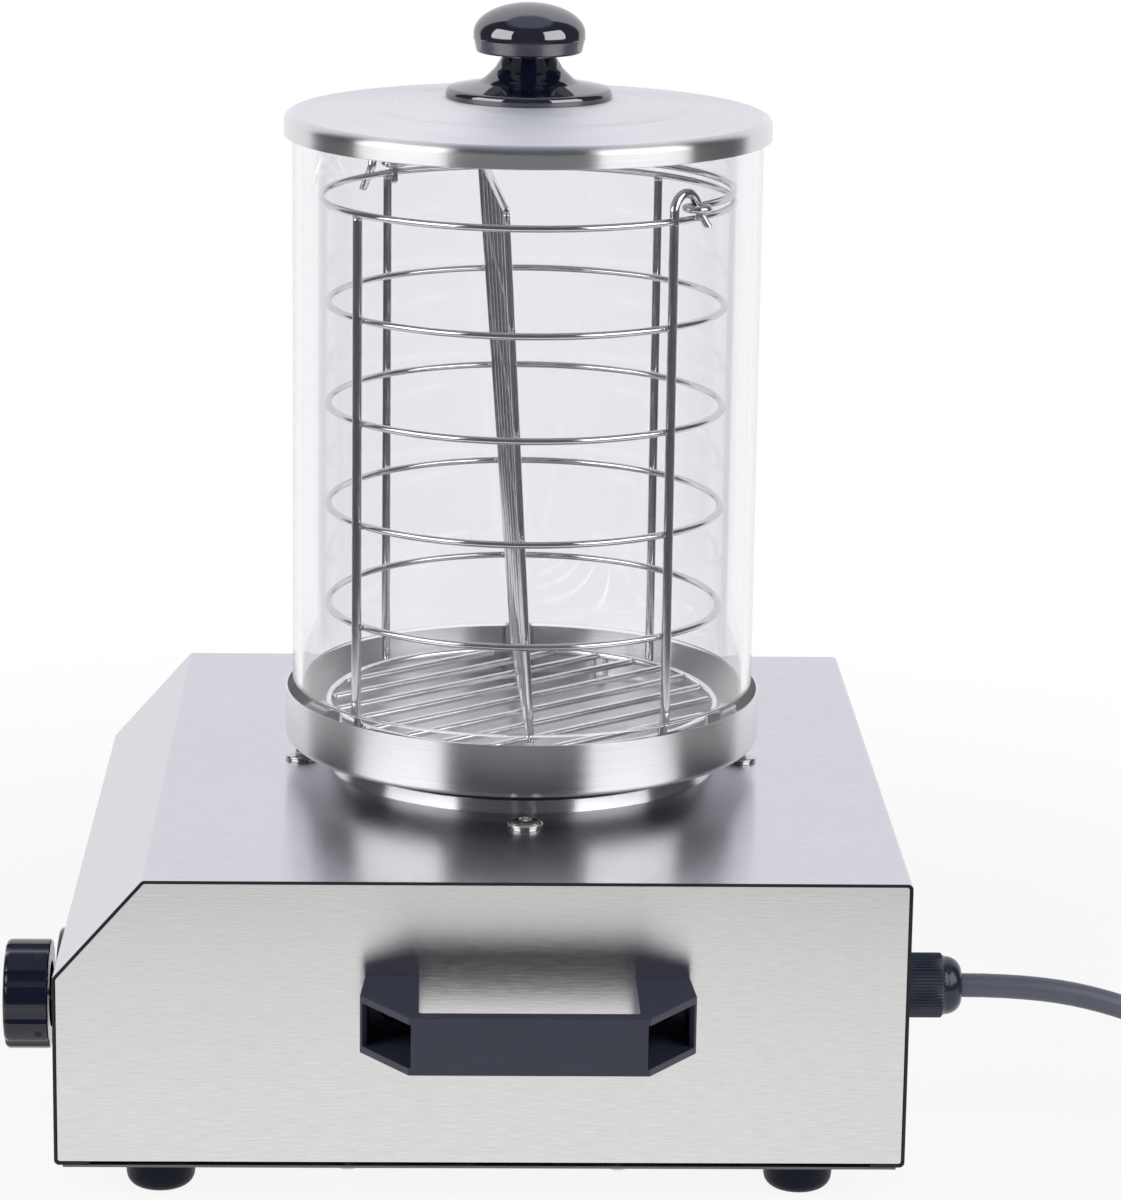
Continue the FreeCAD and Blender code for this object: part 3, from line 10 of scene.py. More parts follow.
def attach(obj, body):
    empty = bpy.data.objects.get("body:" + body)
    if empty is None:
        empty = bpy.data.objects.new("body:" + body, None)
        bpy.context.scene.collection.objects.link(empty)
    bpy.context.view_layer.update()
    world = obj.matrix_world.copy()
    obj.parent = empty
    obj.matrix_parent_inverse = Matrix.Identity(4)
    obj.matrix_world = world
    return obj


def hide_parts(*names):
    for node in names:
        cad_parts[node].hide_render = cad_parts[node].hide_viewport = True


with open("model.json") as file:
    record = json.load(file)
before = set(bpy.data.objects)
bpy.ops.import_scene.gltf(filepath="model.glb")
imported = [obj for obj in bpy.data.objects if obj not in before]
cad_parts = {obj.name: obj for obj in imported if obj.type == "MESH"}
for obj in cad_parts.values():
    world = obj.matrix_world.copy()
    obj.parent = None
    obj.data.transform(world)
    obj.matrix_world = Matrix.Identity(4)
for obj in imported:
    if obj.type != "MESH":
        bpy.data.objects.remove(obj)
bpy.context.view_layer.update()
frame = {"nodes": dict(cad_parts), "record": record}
scene = bpy.context.scene
scene.view_settings.view_transform = "Standard"

# Places and sizes in millimetres, as the solids have them

MM = 0.001
TURN = 2 * math.pi
UP = np.array((0.0, 0.0, 1.0))
TOWER = np.array((0.0, 17.2, 0.0))
TOP_Z = 135.6
HOT_Z = 147.3
GLASS_Z = 173.0
LID_Z = 419.0
LID_FLAT = 99.3
CROWN_Z = 426.8
COVER_EDGE = 180.9
TOP_SCREWS = ((103.0, 17.2), (-103.0, 17.2), (0.0, 113.2), (0.0, -78.8))

RING_WIRE = 1.5
UPRIGHT_WIRE = 2.0
FLOOR_RING_WIRE = 1.7
GRILL_WIRE = 1.6
FOOT_WIRE = 1.25
ROD_WIRE = 0.95
UPRIGHT_ANGLES = (41.5, 137.5, 224.0, 307.0)
UPRIGHT_ENDS = (161.8, 383.4)
GRILL_ANGLE = 39.5
GRILL_PITCH = 17.4
GRILL_STEPS = range(-4, 5)
FOOT_ANGLES = (34.0, 154.0, 274.0)
HOOK_ANGLE = 46.055
HOOP_RADIUS = 84.7
HOOP_HEIGHTS = (208.1, 251.95, 295.8, 339.65)
TOP_RING = (88.05, 384.75)
FLOOR_RING = (84.5, 163.5)
LOW_RAIL_Z = 166.45
TOP_RAIL_Z = 391.05
LOW_RAIL_HALF = 77.9
TOP_RAIL_HALF = 80.5
TOP_RAIL_SHIFT = 15.0
ROD_STEPS = range(-3, 4)
ROD_PITCH = 79.0 / 3
LOW_RAIL_TURN = math.radians(1.7)
TOP_RAIL_TURN = math.radians(3.5)
HOOK_Z = 388.85
HOOK_REACH = 87.77
HOOK_RADIUS = 7.0
HOOK_FOOT_Z = 380.0

DIAL = np.array((83.0, -182.4, 54.65))
DIAL_HEIGHT = 18.9
GLAND = (90.0, 177.8, 62.5)
CORD_RADIUS = 5.1
CORD_EXIT = (90.0, 203.1, 62.5)
CORD_RUN = 190.0
COIL_CENTRE = (24.0, 393.1)
COIL_Z = 6.6
COIL_RADIUS = 66.0
COIL_PITCH = 11.4
COIL_LAYER = 10.9
PLUG_START = (-21.0, 456.25, 17.5)

# The share of an arc's reach by which a flat side's last point stands off it
LEAD = 0.08

# Edges turned by more than this many degrees stay sharp
CREASE = 32

# The room's pale back begins between these angles from the camera's side
BACK_FROM = math.radians(118)
BACK_TO = math.radians(128)

# An axis that points up, or to the front, back or left of the machine, as the turned x, y and z of a shape
WAYS = {
    "up": np.eye(3),
    "front": np.array(((1, 0, 0), (0, 0, -1), (0, 1, 0)), float),
    "back": np.array(((1, 0, 0), (0, 0, 1), (0, -1, 0)), float),
    "left": np.array(((0, 0, -1), (0, 1, 0), (1, 0, 0)), float),
}


# Shapes: each is a grid of points, rows by columns, in millimetres

def sheet_of(points, rows_close=False):
    """A grid, and whether its last row joins its first. Its last column always does."""
    return np.asarray(points, float), rows_close


def unit(vector):
    vector = np.asarray(vector, float)
    return vector / np.linalg.norm(vector)


def polar(angle, radius, height):
    """A point of the tower at an angle in degrees round its axis, a radius from it and a height."""
    angle = math.radians(angle)
    return TOWER + (radius * math.cos(angle), radius * math.sin(angle), height)


def axes_at(angle):
    """The outward and the onward direction at an angle round the tower."""
    angle = math.radians(angle)
    outward = np.array((math.cos(angle), math.sin(angle), 0.0))
    return outward, np.cross(UP, outward)


def arc(centre, radius, start, end, first, second, count):
    """Points centre + radius (cos a first + sin a second) for angles a from start to end, in degrees."""
    angle = np.radians(np.linspace(start, end, count))[:, None]
    return np.asarray(centre) + radius * (np.cos(angle) * first + np.sin(angle) * second)


def rounded(corners, steps=7):
    """A profile's corners as points. A corner with a radius becomes an arc whose centre lies on the corner's
    bisector, one radius from both sides; its points are turned evenly from one side's touch to the other's.
    A point just before and after each arc keeps the shading of the flat sides flat."""
    out = []
    for index, corner in enumerate(corners):
        spot = np.array(corner[:2], float)
        if len(corner) == 2:
            out.append(spot[None])
            continue
        before = unit(np.array(corners[index - 1][:2]) - spot)
        after = unit(np.array(corners[(index + 1) % len(corners)][:2]) - spot)
        half = math.acos(float(before @ after)) / 2
        centre = spot + unit(before + after) * corner[2] / math.sin(half)
        reach = corner[2] / math.tan(half)
        first = spot + before * reach - centre
        last = spot + after * reach - centre
        sweep = math.pi - 2 * half
        share = np.linspace(0, 1, steps)[:, None]
        spread = np.sin((1 - share) * sweep) * first + np.sin(share * sweep) * last
        bend = centre + spread / math.sin(sweep)
        lead = LEAD * reach
        out += [bend[:1] + before * lead, bend, bend[-1:] + after * lead]
    return np.concatenate(out)


def turned(profile, centre, way="up", ring=False, columns=144, bulge=None):
    """A profile of radii and heights carried round an axis: the point (r, h) at angle a goes to
    (r cos a, r sin a, h), turned to the axis's way and moved to the centre. A bulge is a factor on the
    radius for each row and angle. A ring's last row joins its first."""
    radius, height = np.asarray(profile, float).T[:, :, None]
    angle = np.linspace(0, TURN, columns, endpoint=False)[None, :]
    if bulge is not None:
        radius = radius * bulge(np.arange(len(radius))[:, None], angle)
    points = np.stack(np.broadcast_arrays(radius * np.cos(angle), radius * np.sin(angle), height), -1)
    return sheet_of(points @ WAYS[way].T + np.asarray(centre), rows_close=ring)


def wire(path, radius, flat, closed=False, sides=14):
    """A round wire along a path in one plane: at each point a circle spanned by the plane's normal and by the
    normal crossed with the path's heading. Open ends round over in circles that shrink to a point."""
    path = np.asarray(path, float)
    heading = np.roll(path, -1, 0) - np.roll(path, 1, 0) if closed else np.gradient(path, axis=0)
    heading /= np.linalg.norm(heading, axis=1, keepdims=True)
    radii = np.full(len(path), float(radius))
    if not closed:
        bend = np.linspace(0, math.pi / 2, 4)
        edge = 0.5 * radius
        tip = np.concatenate(([0.0], radius - edge + edge * np.sin(bend), [radius]))
        depth = np.concatenate(([0.0], edge * (1 - np.cos(bend)), [edge + LEAD * radius]))[:, None]
        start = path[0] + heading[0] * depth
        end = path[-1] - heading[-1] * depth[::-1]
        path = np.concatenate((start, path[1:-1], end))
        radii = np.concatenate((tip, radii[1:-1], tip[::-1]))
        ends = [np.repeat(heading[at], len(tip), 0) for at in (slice(0, 1), slice(-1, None))]
        heading = np.concatenate((ends[0], heading[1:-1], ends[1]))
    flat = unit(flat)
    side = np.cross(heading, flat)[:, None, :]
    angle = np.linspace(0, TURN, sides, endpoint=False)[None, :, None]
    circle = np.cos(angle) * flat + np.sin(angle) * side
    return sheet_of(path[:, None, :] + radii[:, None, None] * circle, rows_close=closed)


def hoop(radius, height, thickness):
    """A ring of wire: the wire's circle carried round the tower's axis."""
    across = np.array((1.0, 0, 0))
    along = np.array((0, 1.0, 0))
    path = arc(TOWER + (0, 0, height), radius, 0, 360, across, along, 161)[:-1]
    return wire(path, thickness, UP, closed=True)


def bead(centre, first, second, third):
    """A weld bead: the ellipsoid centre + sin t cos a first + sin t sin a second + cos t third."""
    tilt = np.linspace(0, math.pi, 7)[:, None, None]
    angle = np.linspace(0, TURN, 10, endpoint=False)[None, :, None]
    points = np.sin(tilt) * (np.cos(angle) * first + np.sin(angle) * second) + np.cos(tilt) * third
    return sheet_of(points + np.asarray(centre))


def make_piece(name, sheets, finish, body, nodes=()):
    """One mesh from grids of points: quads join neighbours, doubles are merged and faces turned outwards."""
    points = []
    faces = []
    first = 0
    for grid, rows_close in sheets:
        rows, columns, _ = grid.shape
        row = np.arange(rows if rows_close else rows - 1)[:, None]
        column = np.arange(columns)[None, :]
        below = (row + 1) % rows
        beside = (column + 1) % columns
        corners = ((row, column), (row, beside), (below, beside), (below, column))
        quad = [across * columns + along for across, along in corners]
        faces.append(np.stack(np.broadcast_arrays(*quad), -1).reshape(-1, 4) + first)
        points.append(grid.reshape(-1, 3))
        first += rows * columns
    mesh = bpy.data.meshes.new(name)
    mesh.from_pydata(np.concatenate(points) * MM, [], np.concatenate(faces))
    shape = bmesh.new()
    shape.from_mesh(mesh)
    bmesh.ops.remove_doubles(shape, verts=shape.verts, dist=1e-6)
    bmesh.ops.recalc_face_normals(shape, faces=shape.faces)
    shape.to_mesh(mesh)
    shape.free()
    return finish_piece(name, mesh, finish, body, nodes)


def finish_piece(name, mesh, finish, body, nodes):
    """An object with the mesh, shaded smooth but for its creases, that rides on a body and replaces solids."""
    mesh.polygons.foreach_set("use_smooth", np.ones(len(mesh.polygons), bool))
    mesh.set_sharp_from_angle(angle=math.radians(CREASE))
    mesh.materials.append(finish)
    piece = bpy.data.objects.new(name, mesh)
    scene.collection.objects.link(piece)
    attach(piece, body)
    if nodes:
        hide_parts(*nodes)
    return piece


def make_softened(node, width, finish, body):
    """A merged copy of a solid's mesh with its flat faces whole again and every edge rounded by a bevel."""
    shape = bmesh.new()
    shape.from_mesh(frame["nodes"][node].data)
    bmesh.ops.remove_doubles(shape, verts=shape.verts, dist=1e-6)
    bmesh.ops.dissolve_limit(shape, angle_limit=math.radians(0.5), verts=shape.verts, edges=shape.edges)
    shape.verts.index_update()
    corners = [tuple(vert.co) for vert in shape.verts]
    faces = [[vert.index for vert in face.verts] for face in shape.faces]
    shape.free()
    mesh = bpy.data.meshes.new(node + "_rounded")
    mesh.from_pydata(corners, [], faces)
    piece = finish_piece(node + "_rounded", mesh, finish, body, (node,))
    bevel = piece.modifiers.new("rounded edges", "BEVEL")
    bevel.width = width * MM
    bevel.segments = 3
    bevel.limit_method = "ANGLE"
    bevel.angle_limit = math.radians(CREASE)
    bevel.harden_normals = True


# Finishes

class Nodes:
    """A tree of nodes and short ways to add to it. A value is a number, a colour or another node's output."""

    def __init__(self, tree):
        self.tree = tree

    def node(self, kind, inputs=(), **settings):
        """A new node's outputs, once its settings are made and its inputs are set or linked."""
        made = self.tree.nodes.new(kind)
        for key, value in settings.items():
            setattr(made, key, value)
        for socket, value in inputs:
            if isinstance(value, bpy.types.NodeSocket):
                self.tree.links.new(value, made.inputs[socket])
            else:
                made.inputs[socket].default_value = value
        return made.outputs

    def math(self, kind, first, second=0.0):
        return self.node("ShaderNodeMath", [(0, first), (1, second)], operation=kind)[0]

    def between(self, share, first, second):
        """A colour mixed from two."""
        ends = [value if isinstance(value, bpy.types.NodeSocket) else (*value, 1.0) for value in (first, second)]
        inputs = [("Factor", share), (6, ends[0]), (7, ends[1])]
        return self.node("ShaderNodeMix", inputs, data_type="RGBA")[2]


class Finish(Nodes):
    """A material with one Principled shader, and short ways to add the nodes that feed it."""

    def __init__(self, name, colour, rough, metal=0.0, **sockets):
        self.material = bpy.data.materials.new(name)
        self.material.use_nodes = True
        super().__init__(self.material.node_tree)
        self.shader = self.tree.nodes["Principled BSDF"]
        self.set("Base Color", (*colour, 1.0))
        self.set("Roughness", rough)
        self.set("Metallic", metal)
        for socket, value in sockets.items():
            self.set(socket.replace("_", " "), value)

    def set(self, socket, value):
        self.shader.inputs[socket].default_value = value

    def feed(self, socket, output):
        self.tree.links.new(output, self.shader.inputs[socket])

    def place(self, scale=(1, 1, 1), shift=(0, 0, 0)):
        """Object coordinates, moved and then stretched."""
        spot = self.node("ShaderNodeTexCoord")["Object"]
        moved = self.node("ShaderNodeVectorMath", [(0, spot), (1, shift)], operation="ADD")[0]
        return self.node("ShaderNodeVectorMath", [(0, moved), (1, scale)], operation="MULTIPLY")[0]

    def noise(self, vector, scale=1.0, detail=3.0, rough=0.55):
        inputs = [("Vector", vector), ("Scale", scale), ("Detail", detail), ("Roughness", rough)]
        return self.node("ShaderNodeTexNoise", inputs)["Fac"]

    def ranged(self, value, low, high, to_low, to_high):
        """A value between two limits, carried over to two others."""
        limits = [("From Min", low), ("From Max", high), ("To Min", to_low), ("To Max", to_high)]
        return self.node("ShaderNodeMapRange", [("Value", value), *limits])[0]

    def tone(self, stroke, patch):
        """A share from 0 to 1: four fifths of it come from brush strokes and one fifth from soft patches."""
        fine = self.ranged(stroke, 0.3, 0.7, 0.0, 0.8)
        return self.math("ADD", fine, self.ranged(patch, 0.35, 0.65, 0.0, 0.2))

    def bump(self, height, strength, depth):
        inputs = [("Height", height), ("Strength", strength), ("Distance", depth)]
        self.feed("Normal", self.node("ShaderNodeBump", inputs)["Normal"])


def shade(colour, factor):
    """A colour made lighter or darker."""
    return tuple(channel * factor for channel in colour)


def brushed_sheet(name, steel, grain):
    """Stainless sheet brushed from front to back. The grain stretches the noise along the strokes."""
    made = Finish(name, steel, 0.2, 1.0, Anisotropic=0.8)
    stroke = made.noise(made.place(scale=grain), detail=4.0, rough=0.7)
    patch = made.noise(made.place(scale=(9, 4, 9)), detail=2.0)
    tone = made.tone(stroke, patch)
    made.feed("Base Color", made.between(tone, shade(steel, 0.88), shade(steel, 1.1)))
    made.feed("Roughness", made.ranged(tone, 0.0, 1.0, 0.18, 0.24))
    made.feed("Tangent", made.node("ShaderNodeCombineXYZ", [("X", 1.0), ("Z", 0.2)])[0])
    made.bump(stroke, 0.12, 0.0002)
    return made


def turned_steel(name, rough, anisotropy, steel=(0.72, 0.715, 0.72)):
    """Stainless brushed round the tower's axis: noise over the radius and height, drawn out along the angle."""
    made = Finish(name, steel, rough, 1.0, Anisotropic=anisotropy)
    made.set("Anisotropic Rotation", 0.25)
    spot = made.place(shift=tuple(-TOWER * MM))
    split = made.node("ShaderNodeSeparateXYZ", [(0, spot)])
    flat = made.node("ShaderNodeCombineXYZ", [("X", split["X"]), ("Y", split["Y"])])[0]
    radius = made.node("ShaderNodeVectorMath", [(0, flat)], operation="LENGTH")["Value"]
    angle = made.math("ARCTAN2", split["Y"], split["X"])
    across, along = 1900.0, 1.6
    strokes = made.node("ShaderNodeCombineXYZ", [
        ("X", made.math("MULTIPLY", radius, across)), ("Y", made.math("MULTIPLY", angle, along)),
        ("Z", made.math("MULTIPLY", split["Z"], across))])[0]
    stroke = made.noise(strokes, detail=3.0, rough=0.65)
    patch = made.noise(spot, scale=14.0, detail=2.0)
    tone = made.tone(stroke, patch)
    made.feed("Base Color", made.between(tone, shade(steel, 0.9), shade(steel, 1.06)))
    made.feed("Roughness", made.ranged(tone, 0.0, 1.0, rough * 0.9, rough * 1.15))
    made.feed("Tangent", made.node("ShaderNodeTangent", direction_type="RADIAL", axis="Z")[0])
    made.bump(stroke, 0.06, 0.0002)
    return made


def moulded(name, colour, rough, grain_size, depth, swing=0.12, density=1.5):
    """Moulded plastic or rubber: a fine grain, of a size in millimetres and a depth in metres, and a little
    cloudiness in its colour."""
    made = Finish(name, colour, rough, IOR=density)
    grain = made.noise(made.place(), scale=1000.0 / grain_size, detail=2.0)
    cloud = made.noise(made.place(), scale=60.0, detail=3.0)
    made.feed("Base Color", made.between(cloud, shade(colour, 1 - swing), shade(colour, 1 + swing)))
    made.feed("Roughness", made.ranged(grain, 0.3, 0.7, rough * 0.88, min(1.0, rough * 1.12)))
    made.bump(grain, 0.35, depth)
    return made


def bare_metal(name, colour, rough, swing=0.15, spread=0.27):
    """Plain metal with faint stains and handling marks, in colour by a swing and in roughness by a spread."""
    made = Finish(name, colour, rough, 1.0)
    stain = made.noise(made.place(), scale=120.0, detail=4.0)
    made.feed("Base Color", made.between(stain, shade(colour, 1 - swing), shade(colour, 1 + swing * 0.5)))
    made.feed("Roughness", made.ranged(stain, 0.3, 0.7, rough * (1 - spread), rough * (1 + spread)))
    return made


def make_finishes():
    """Every finish, by the name of its slot or of the pieces that have their own. The cover's sheet is near-black
    at its
    cut edges: partly the cut edge's own dark, partly painted shade of the seam beside the side panels."""
    cover = brushed_sheet("brushed_cover", (0.67, 0.66, 0.695), (1300, 110, 16))
    # Partly painted shade: the cover's cut edges go near-black, for the dark cut edge and for the shade in the
    # seam
    across = cover.node("ShaderNodeSeparateXYZ", [(0, cover.place())])["X"]
    away = cover.math("ABSOLUTE", across)
    edge = cover.ranged(away, (COVER_EDGE - 0.05) * MM, (COVER_EDGE + 0.05) * MM, 0.0, 1.0)
    steel = cover.shader.inputs["Base Color"].links[0].from_socket
    cover.feed("Base Color", cover.between(edge, steel, (0.035, 0.035, 0.04)))
    panel = brushed_sheet("brushed_panel", (0.78, 0.76, 0.755), (16, 110, 1300))

    glass = Finish("clear_glass", (0.955, 0.955, 0.97), 0.0, IOR=1.47)
    glass.set("Transmission Weight", 1.0)

    lens = Finish("lamp_lens", (0.85, 0.16, 0.03), 0.15, IOR=1.49)
    lens.set("Transmission Weight", 0.55)
    waves = [("Vector", lens.place()), ("Scale", 420.0)]
    rays = lens.node("ShaderNodeTexWave", waves, bands_direction="Z")["Fac"]
    lens.bump(rays, 0.3, 0.0004)

    finishes = {
        "cover": cover,
        "panel": panel,
        "plain_steel": bare_metal("mill_steel", (0.48, 0.48, 0.49), 0.38),
        # Painted shade: the bottom plate is much darker than the mill steel, so its edge under the side panels
        # reads as shaded
        "underside": bare_metal("shade_darkened_underside", (0.2, 0.2, 0.21), 0.5),
        "bright_fasteners": bare_metal("bright_screws", (0.66, 0.64, 0.62), 0.2),
        "foot_rubber": moulded("foot_rubber", (0.004, 0.006, 0.017), 0.4, 0.7, 0.0001, 0.12, 1.25),
        "handle_plastic": moulded("grained_handle", (0.036, 0.04, 0.068), 0.38, 0.6, 0.00012),
        "plate_iron": moulded("plate_iron", (0.02, 0.02, 0.022), 0.6, 0.8, 0.0002),
        "trim_steel": turned_steel("trim_steel", 0.24, 0.95),
        "gloss_plastic": moulded("gloss_navy", (0.007, 0.008, 0.022), 0.05, 6.0, 0.00002, 0.06, 2.4),
        "dial": moulded("dial_plastic", (0.011, 0.012, 0.032), 0.1, 6.0, 0.00002, 0.06, 1.5),
        "inner_plastic": moulded("inner_plastic", (0.62, 0.6, 0.54), 0.5, 1.0, 0.0001),
        "lamp_plastic": lens,
        "wire_metal": bare_metal("brass", (0.7, 0.56, 0.32), 0.22),
        "wire_sleeve": moulded("wire_sleeve", (0.32, 0.17, 0.09), 0.45, 1.0, 0.0001),
        "gland_plastic": moulded("gland_nylon", (0.02, 0.024, 0.046), 0.18, 0.7, 0.00003),
        "cord_rubber": moulded("cord_rubber", (0.13, 0.142, 0.185), 0.42, 0.8, 0.00008),
        "tie_plastic": moulded("tie_strap", (0.02, 0.02, 0.022), 0.75, 0.9, 0.0003),
        "tray_steel": turned_steel("tray_steel", 0.3, 0.97),
        "clear_glass": glass,
        "basket_wire": bare_metal("basket_wire", (0.76, 0.755, 0.765), 0.1, 0.05, 0.1),
        # Painted light: the grill and floor ring are a paler copy of the basket's chrome, so they read brighter
        "grill": bare_metal("grill_wire", (0.88, 0.875, 0.88), 0.15, 0.03, 0.05),
        "weld": bare_metal("weld_bead", (0.6, 0.57, 0.54), 0.3),
        "lid_steel": turned_steel("lid_steel", 0.3, 1.0),
        # Painted light: the lid's flat top in a paler steel colour than the rest of the pressing; its higher
        # roughness is its finish
        "lid_top_painted_light": turned_steel("lid_top_painted_light", 0.58, 0.5, (0.93, 0.925, 0.935)),
        "pin": bare_metal("nickel_pin", (0.7, 0.68, 0.64), 0.2),
        "pointer": moulded("pointer_paint", (0.75, 0.75, 0.75), 0.4, 1.0, 0.00003),
    }
    return {name: made.material for name, made in finishes.items()}


def dress_solids(finishes):
    """Every solid gets its slot's finish, apart from those that have their own."""
    # The bottom plate takes the darker underside finish, which is painted shade
    own = {"wrap_cover": "cover", "side_panel_left": "panel", "side_panel_right": "panel", "plug_pins": "pin",
           "knob_bezel": "dial", "bottom_plate": "underside"}
    for subpart in frame["record"]["subparts"]:
        node = subpart["node"]
        solid = frame["nodes"][node].data
        solid.materials.clear()
        solid.materials.append(finishes[own.get(node, subpart["material_slot"])])


# Mains lead

def cord_points():
    """The lead's control points: the free stretch as shares of its run and its fall, then the coil, whose radius
    falls by a pitch each turn on the floor, dips as it climbs one layer and grows again on top, and then the
    straight tail to the plug."""
    x, y, z = CORD_EXIT
    fall = z - COIL_Z
    shares = ((0.0, 1.0), (0.158, 1.0), (0.358, 0.857), (0.547, 0.575), (0.716, 0.275), (0.821, 0.088),
              (0.926, 0.0))
    points = [(x, y + along * CORD_RUN, COIL_Z + up * fall) for along, up in shares]
    per_turn = 16
    turns, low_turns, climb_turns, dip = 4.25, 2.0, 0.5, 1.6
    turn = np.arange(0.25 / per_turn, turns, 1 / per_turn)
    climb = np.clip((turn - low_turns) / climb_turns, 0, 1)
    inward = np.minimum(turn, low_turns) - np.maximum(turn - low_turns - climb_turns, 0)
    radius = COIL_RADIUS - COIL_PITCH * inward
    radius = (radius - dip * np.sin(math.pi * climb)) / math.cos(math.pi / per_turn)
    height = COIL_Z + COIL_LAYER * (1 - np.cos(math.pi * climb)) / 2
    across = COIL_CENTRE[0] + radius * np.cos(TURN * turn)
    along = COIL_CENTRE[1] + radius * np.sin(TURN * turn)
    points += np.stack((across, along, height), -1).tolist()
    x, y, z = PLUG_START
    points += [(x + 22, y, z), (x - 6, y, z)]
    return np.array(points) * MM


def make_cord(finishes):
    """The lead as a round curve through its control points, with the tie and the plug on it."""
    points = cord_points()
    line = bpy.data.curves.new("mains_lead", "CURVE")
    line.dimensions = "3D"
    spline = line.splines.new("NURBS")
    spline.points.add(len(points) - 1)
    spline.points.foreach_set("co", np.concatenate((points, np.ones((len(points), 1))), 1).ravel())
    spline.order_u = 3
    spline.use_endpoint_u = True
    spline.resolution_u = 6
    line.bevel_depth = CORD_RADIUS * MM
    line.bevel_resolution = 6
    line.use_fill_caps = True
    line.materials.append(finishes["cord_rubber"])
    lead = bpy.data.objects.new("mains_lead", line)
    scene.collection.objects.link(lead)
    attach(lead, "base")
    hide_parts("power_cord", "cord_coil")
    pieces = [make_tie(finishes), make_plug(finishes), make_pins(finishes)]


def make_tie(finishes):
    """A strap round the coil: a thin section with rounded edges carried round a rectangle with rounded
    corners."""
    outward, onward = axes_at(225)
    low, high, foot, top, bend = 38.3, 65.2, 0.6, 23.5, 6.0
    thick, half, edge = 1.2, 4.5, 0.4
    loop = rounded([(low, foot, bend), (high, foot, bend), (high, top, bend), (low, top, bend)], 9)
    ahead = np.roll(loop, -1, 0) - np.roll(loop, 1, 0)
    normal = np.stack((ahead[:, 1], -ahead[:, 0]), 1) / np.linalg.norm(ahead, axis=1, keepdims=True)
    section = rounded([(-half, -thick / 2, edge), (half, -thick / 2, edge), (half, thick / 2, edge),
                       (-half, thick / 2, edge)], 4)
    flat = loop[:, None, :] + normal[:, None, :] * section[None, :, 1:]
    points = flat[..., :1] * outward + flat[..., 1:] * UP + section[None, :, :1] * onward
    centre = np.array((*COIL_CENTRE, 0.0))
    strap = sheet_of(points + centre, rows_close=True)
    return make_piece("coil_tie", [strap], finishes["tie_plastic"], "base", ("cord_tie",))


def make_plug(finishes):
    """The plug: a ribbed neck that widens into a round body, turned about the lead's own line. The neck's radius
    drops between its ribs, where a sine of the length is high, and the body's between the ribs of its grip."""
    neck = np.linspace(0, 21, 60)
    rib_pitch, rib_depth = 3.5, 0.7
    ribs = 8.3 + 0.05 * neck - rib_depth * (np.sin(TURN * neck / rib_pitch) > 0.35) * (neck > 1.5)
    body = rounded([(9.3, 21.5), (12.0, 23.0, 2.0), (17.5, 33.0, 6.0), (16.9, 42.0, 3.0), (17.4, 52.0, 1.6),
                    (14.6, 52.0, 0.5), (14.2, 51.0, 0.4), (0, 51.0)])
    profile = np.concatenate(([(0, 0)], np.stack((ribs, neck), 1), body))
    grip = ((profile[:, 1:] > 35) & (profile[:, 1:] < 46)).astype(float)
    shape = turned(profile, PLUG_START, "left", columns=120,
                   bulge=lambda row, angle: 1 - 0.018 * grip[row[:, 0]] * (np.cos(24 * angle) > 0.2))
    return make_piece("plug", [shape], finishes["cord_rubber"], "base", ("plug_body",))


def make_pins(finishes):
    """Two round pins with rounded tips, each turned about its own line."""
    profile = rounded([(0, -4), (2.4, -4), (2.4, 19, 1.5), (0, 19)])
    x, y, z = PLUG_START
    pins = [turned(profile, (x - 52, y + side * 9.5, z), "left", columns=32) for side in (-1, 1)]
    return make_piece("plug_prongs", pins, finishes["pin"], "base", ("plug_pins",))


# Tower and basket

def on_tower(profile, height, columns, ring=True):
    """A profile carried round the tower's axis, from a height up."""
    return turned(profile, TOWER + (0, 0, height), ring=ring, columns=columns)


def make_tray(finishes):
    """The water tray: a flat floor and an upright wall with small roundings."""
    outside = [(0, 0), (103.2, 0, 3.2), (103.2, 23, 0.33)]
    inside = [(102.2, 23, 0.33), (102.2, 1, 2.4), (0, 1)]
    tray = on_tower(rounded(outside + inside, 12), HOT_Z, 192, ring=False)
    make_piece("tray", [tray], finishes["tray_steel"], "tray", ("water_tray",))


def make_glass(finishes):
    """A tube of glass. It casts no shadow, because the renderer would give clear glass a dark one."""
    wall = rounded([(96, 0, 0.8), (100, 0, 0.8), (100, 246, 0.8), (96, 246, 0.8)], 5)
    tube = on_tower(wall, GLASS_Z, 256)
    glass = make_piece("glass_wall", [tube], finishes["clear_glass"], "glass", ("glass_cylinder",))
    glass.visible_shadow = False


def make_lid(finishes):
    """The lid, with a fine groove and a step in its top. Inside its rim it is rougher, and paler as painted
    light.
    """
    groove = [(51.8, 6.19), (52.3, 6.14), (52.8, 5.93), (53.3, 6.03), (53.8, 5.98)]
    top = [(3.1, 7.8), (36.5, 7.8), *groove, (65, 4.8, 1), (68, 3.6, 1), (94, 1.2, 6)]
    rim = [(103.6, 1.2, 3.5), (103.6, -8.2, 0.4), (102.4, -8.2, 0.4), (102.4, 0, 2.6)]
    under = [(94, 0, 2), (68, 2.4), (65, 3.6), (36.5, 6.6), (3.1, 6.6)]
    shape = on_tower(rounded(top + rim + under), LID_Z, 192)
    lid = make_piece("lid_pressing", [shape], finishes["lid_steel"], "lid", ("lid",)).data
    lid.materials.append(finishes["lid_top_painted_light"])
    middles = np.empty(len(lid.polygons) * 3)
    lid.polygons.foreach_get("center", middles)
    reach = np.linalg.norm((middles.reshape(-1, 3) - TOWER * MM)[:, :2], axis=1)
    lid.polygons.foreach_set("material_index", (reach < LID_FLAT * MM).astype(np.int32))


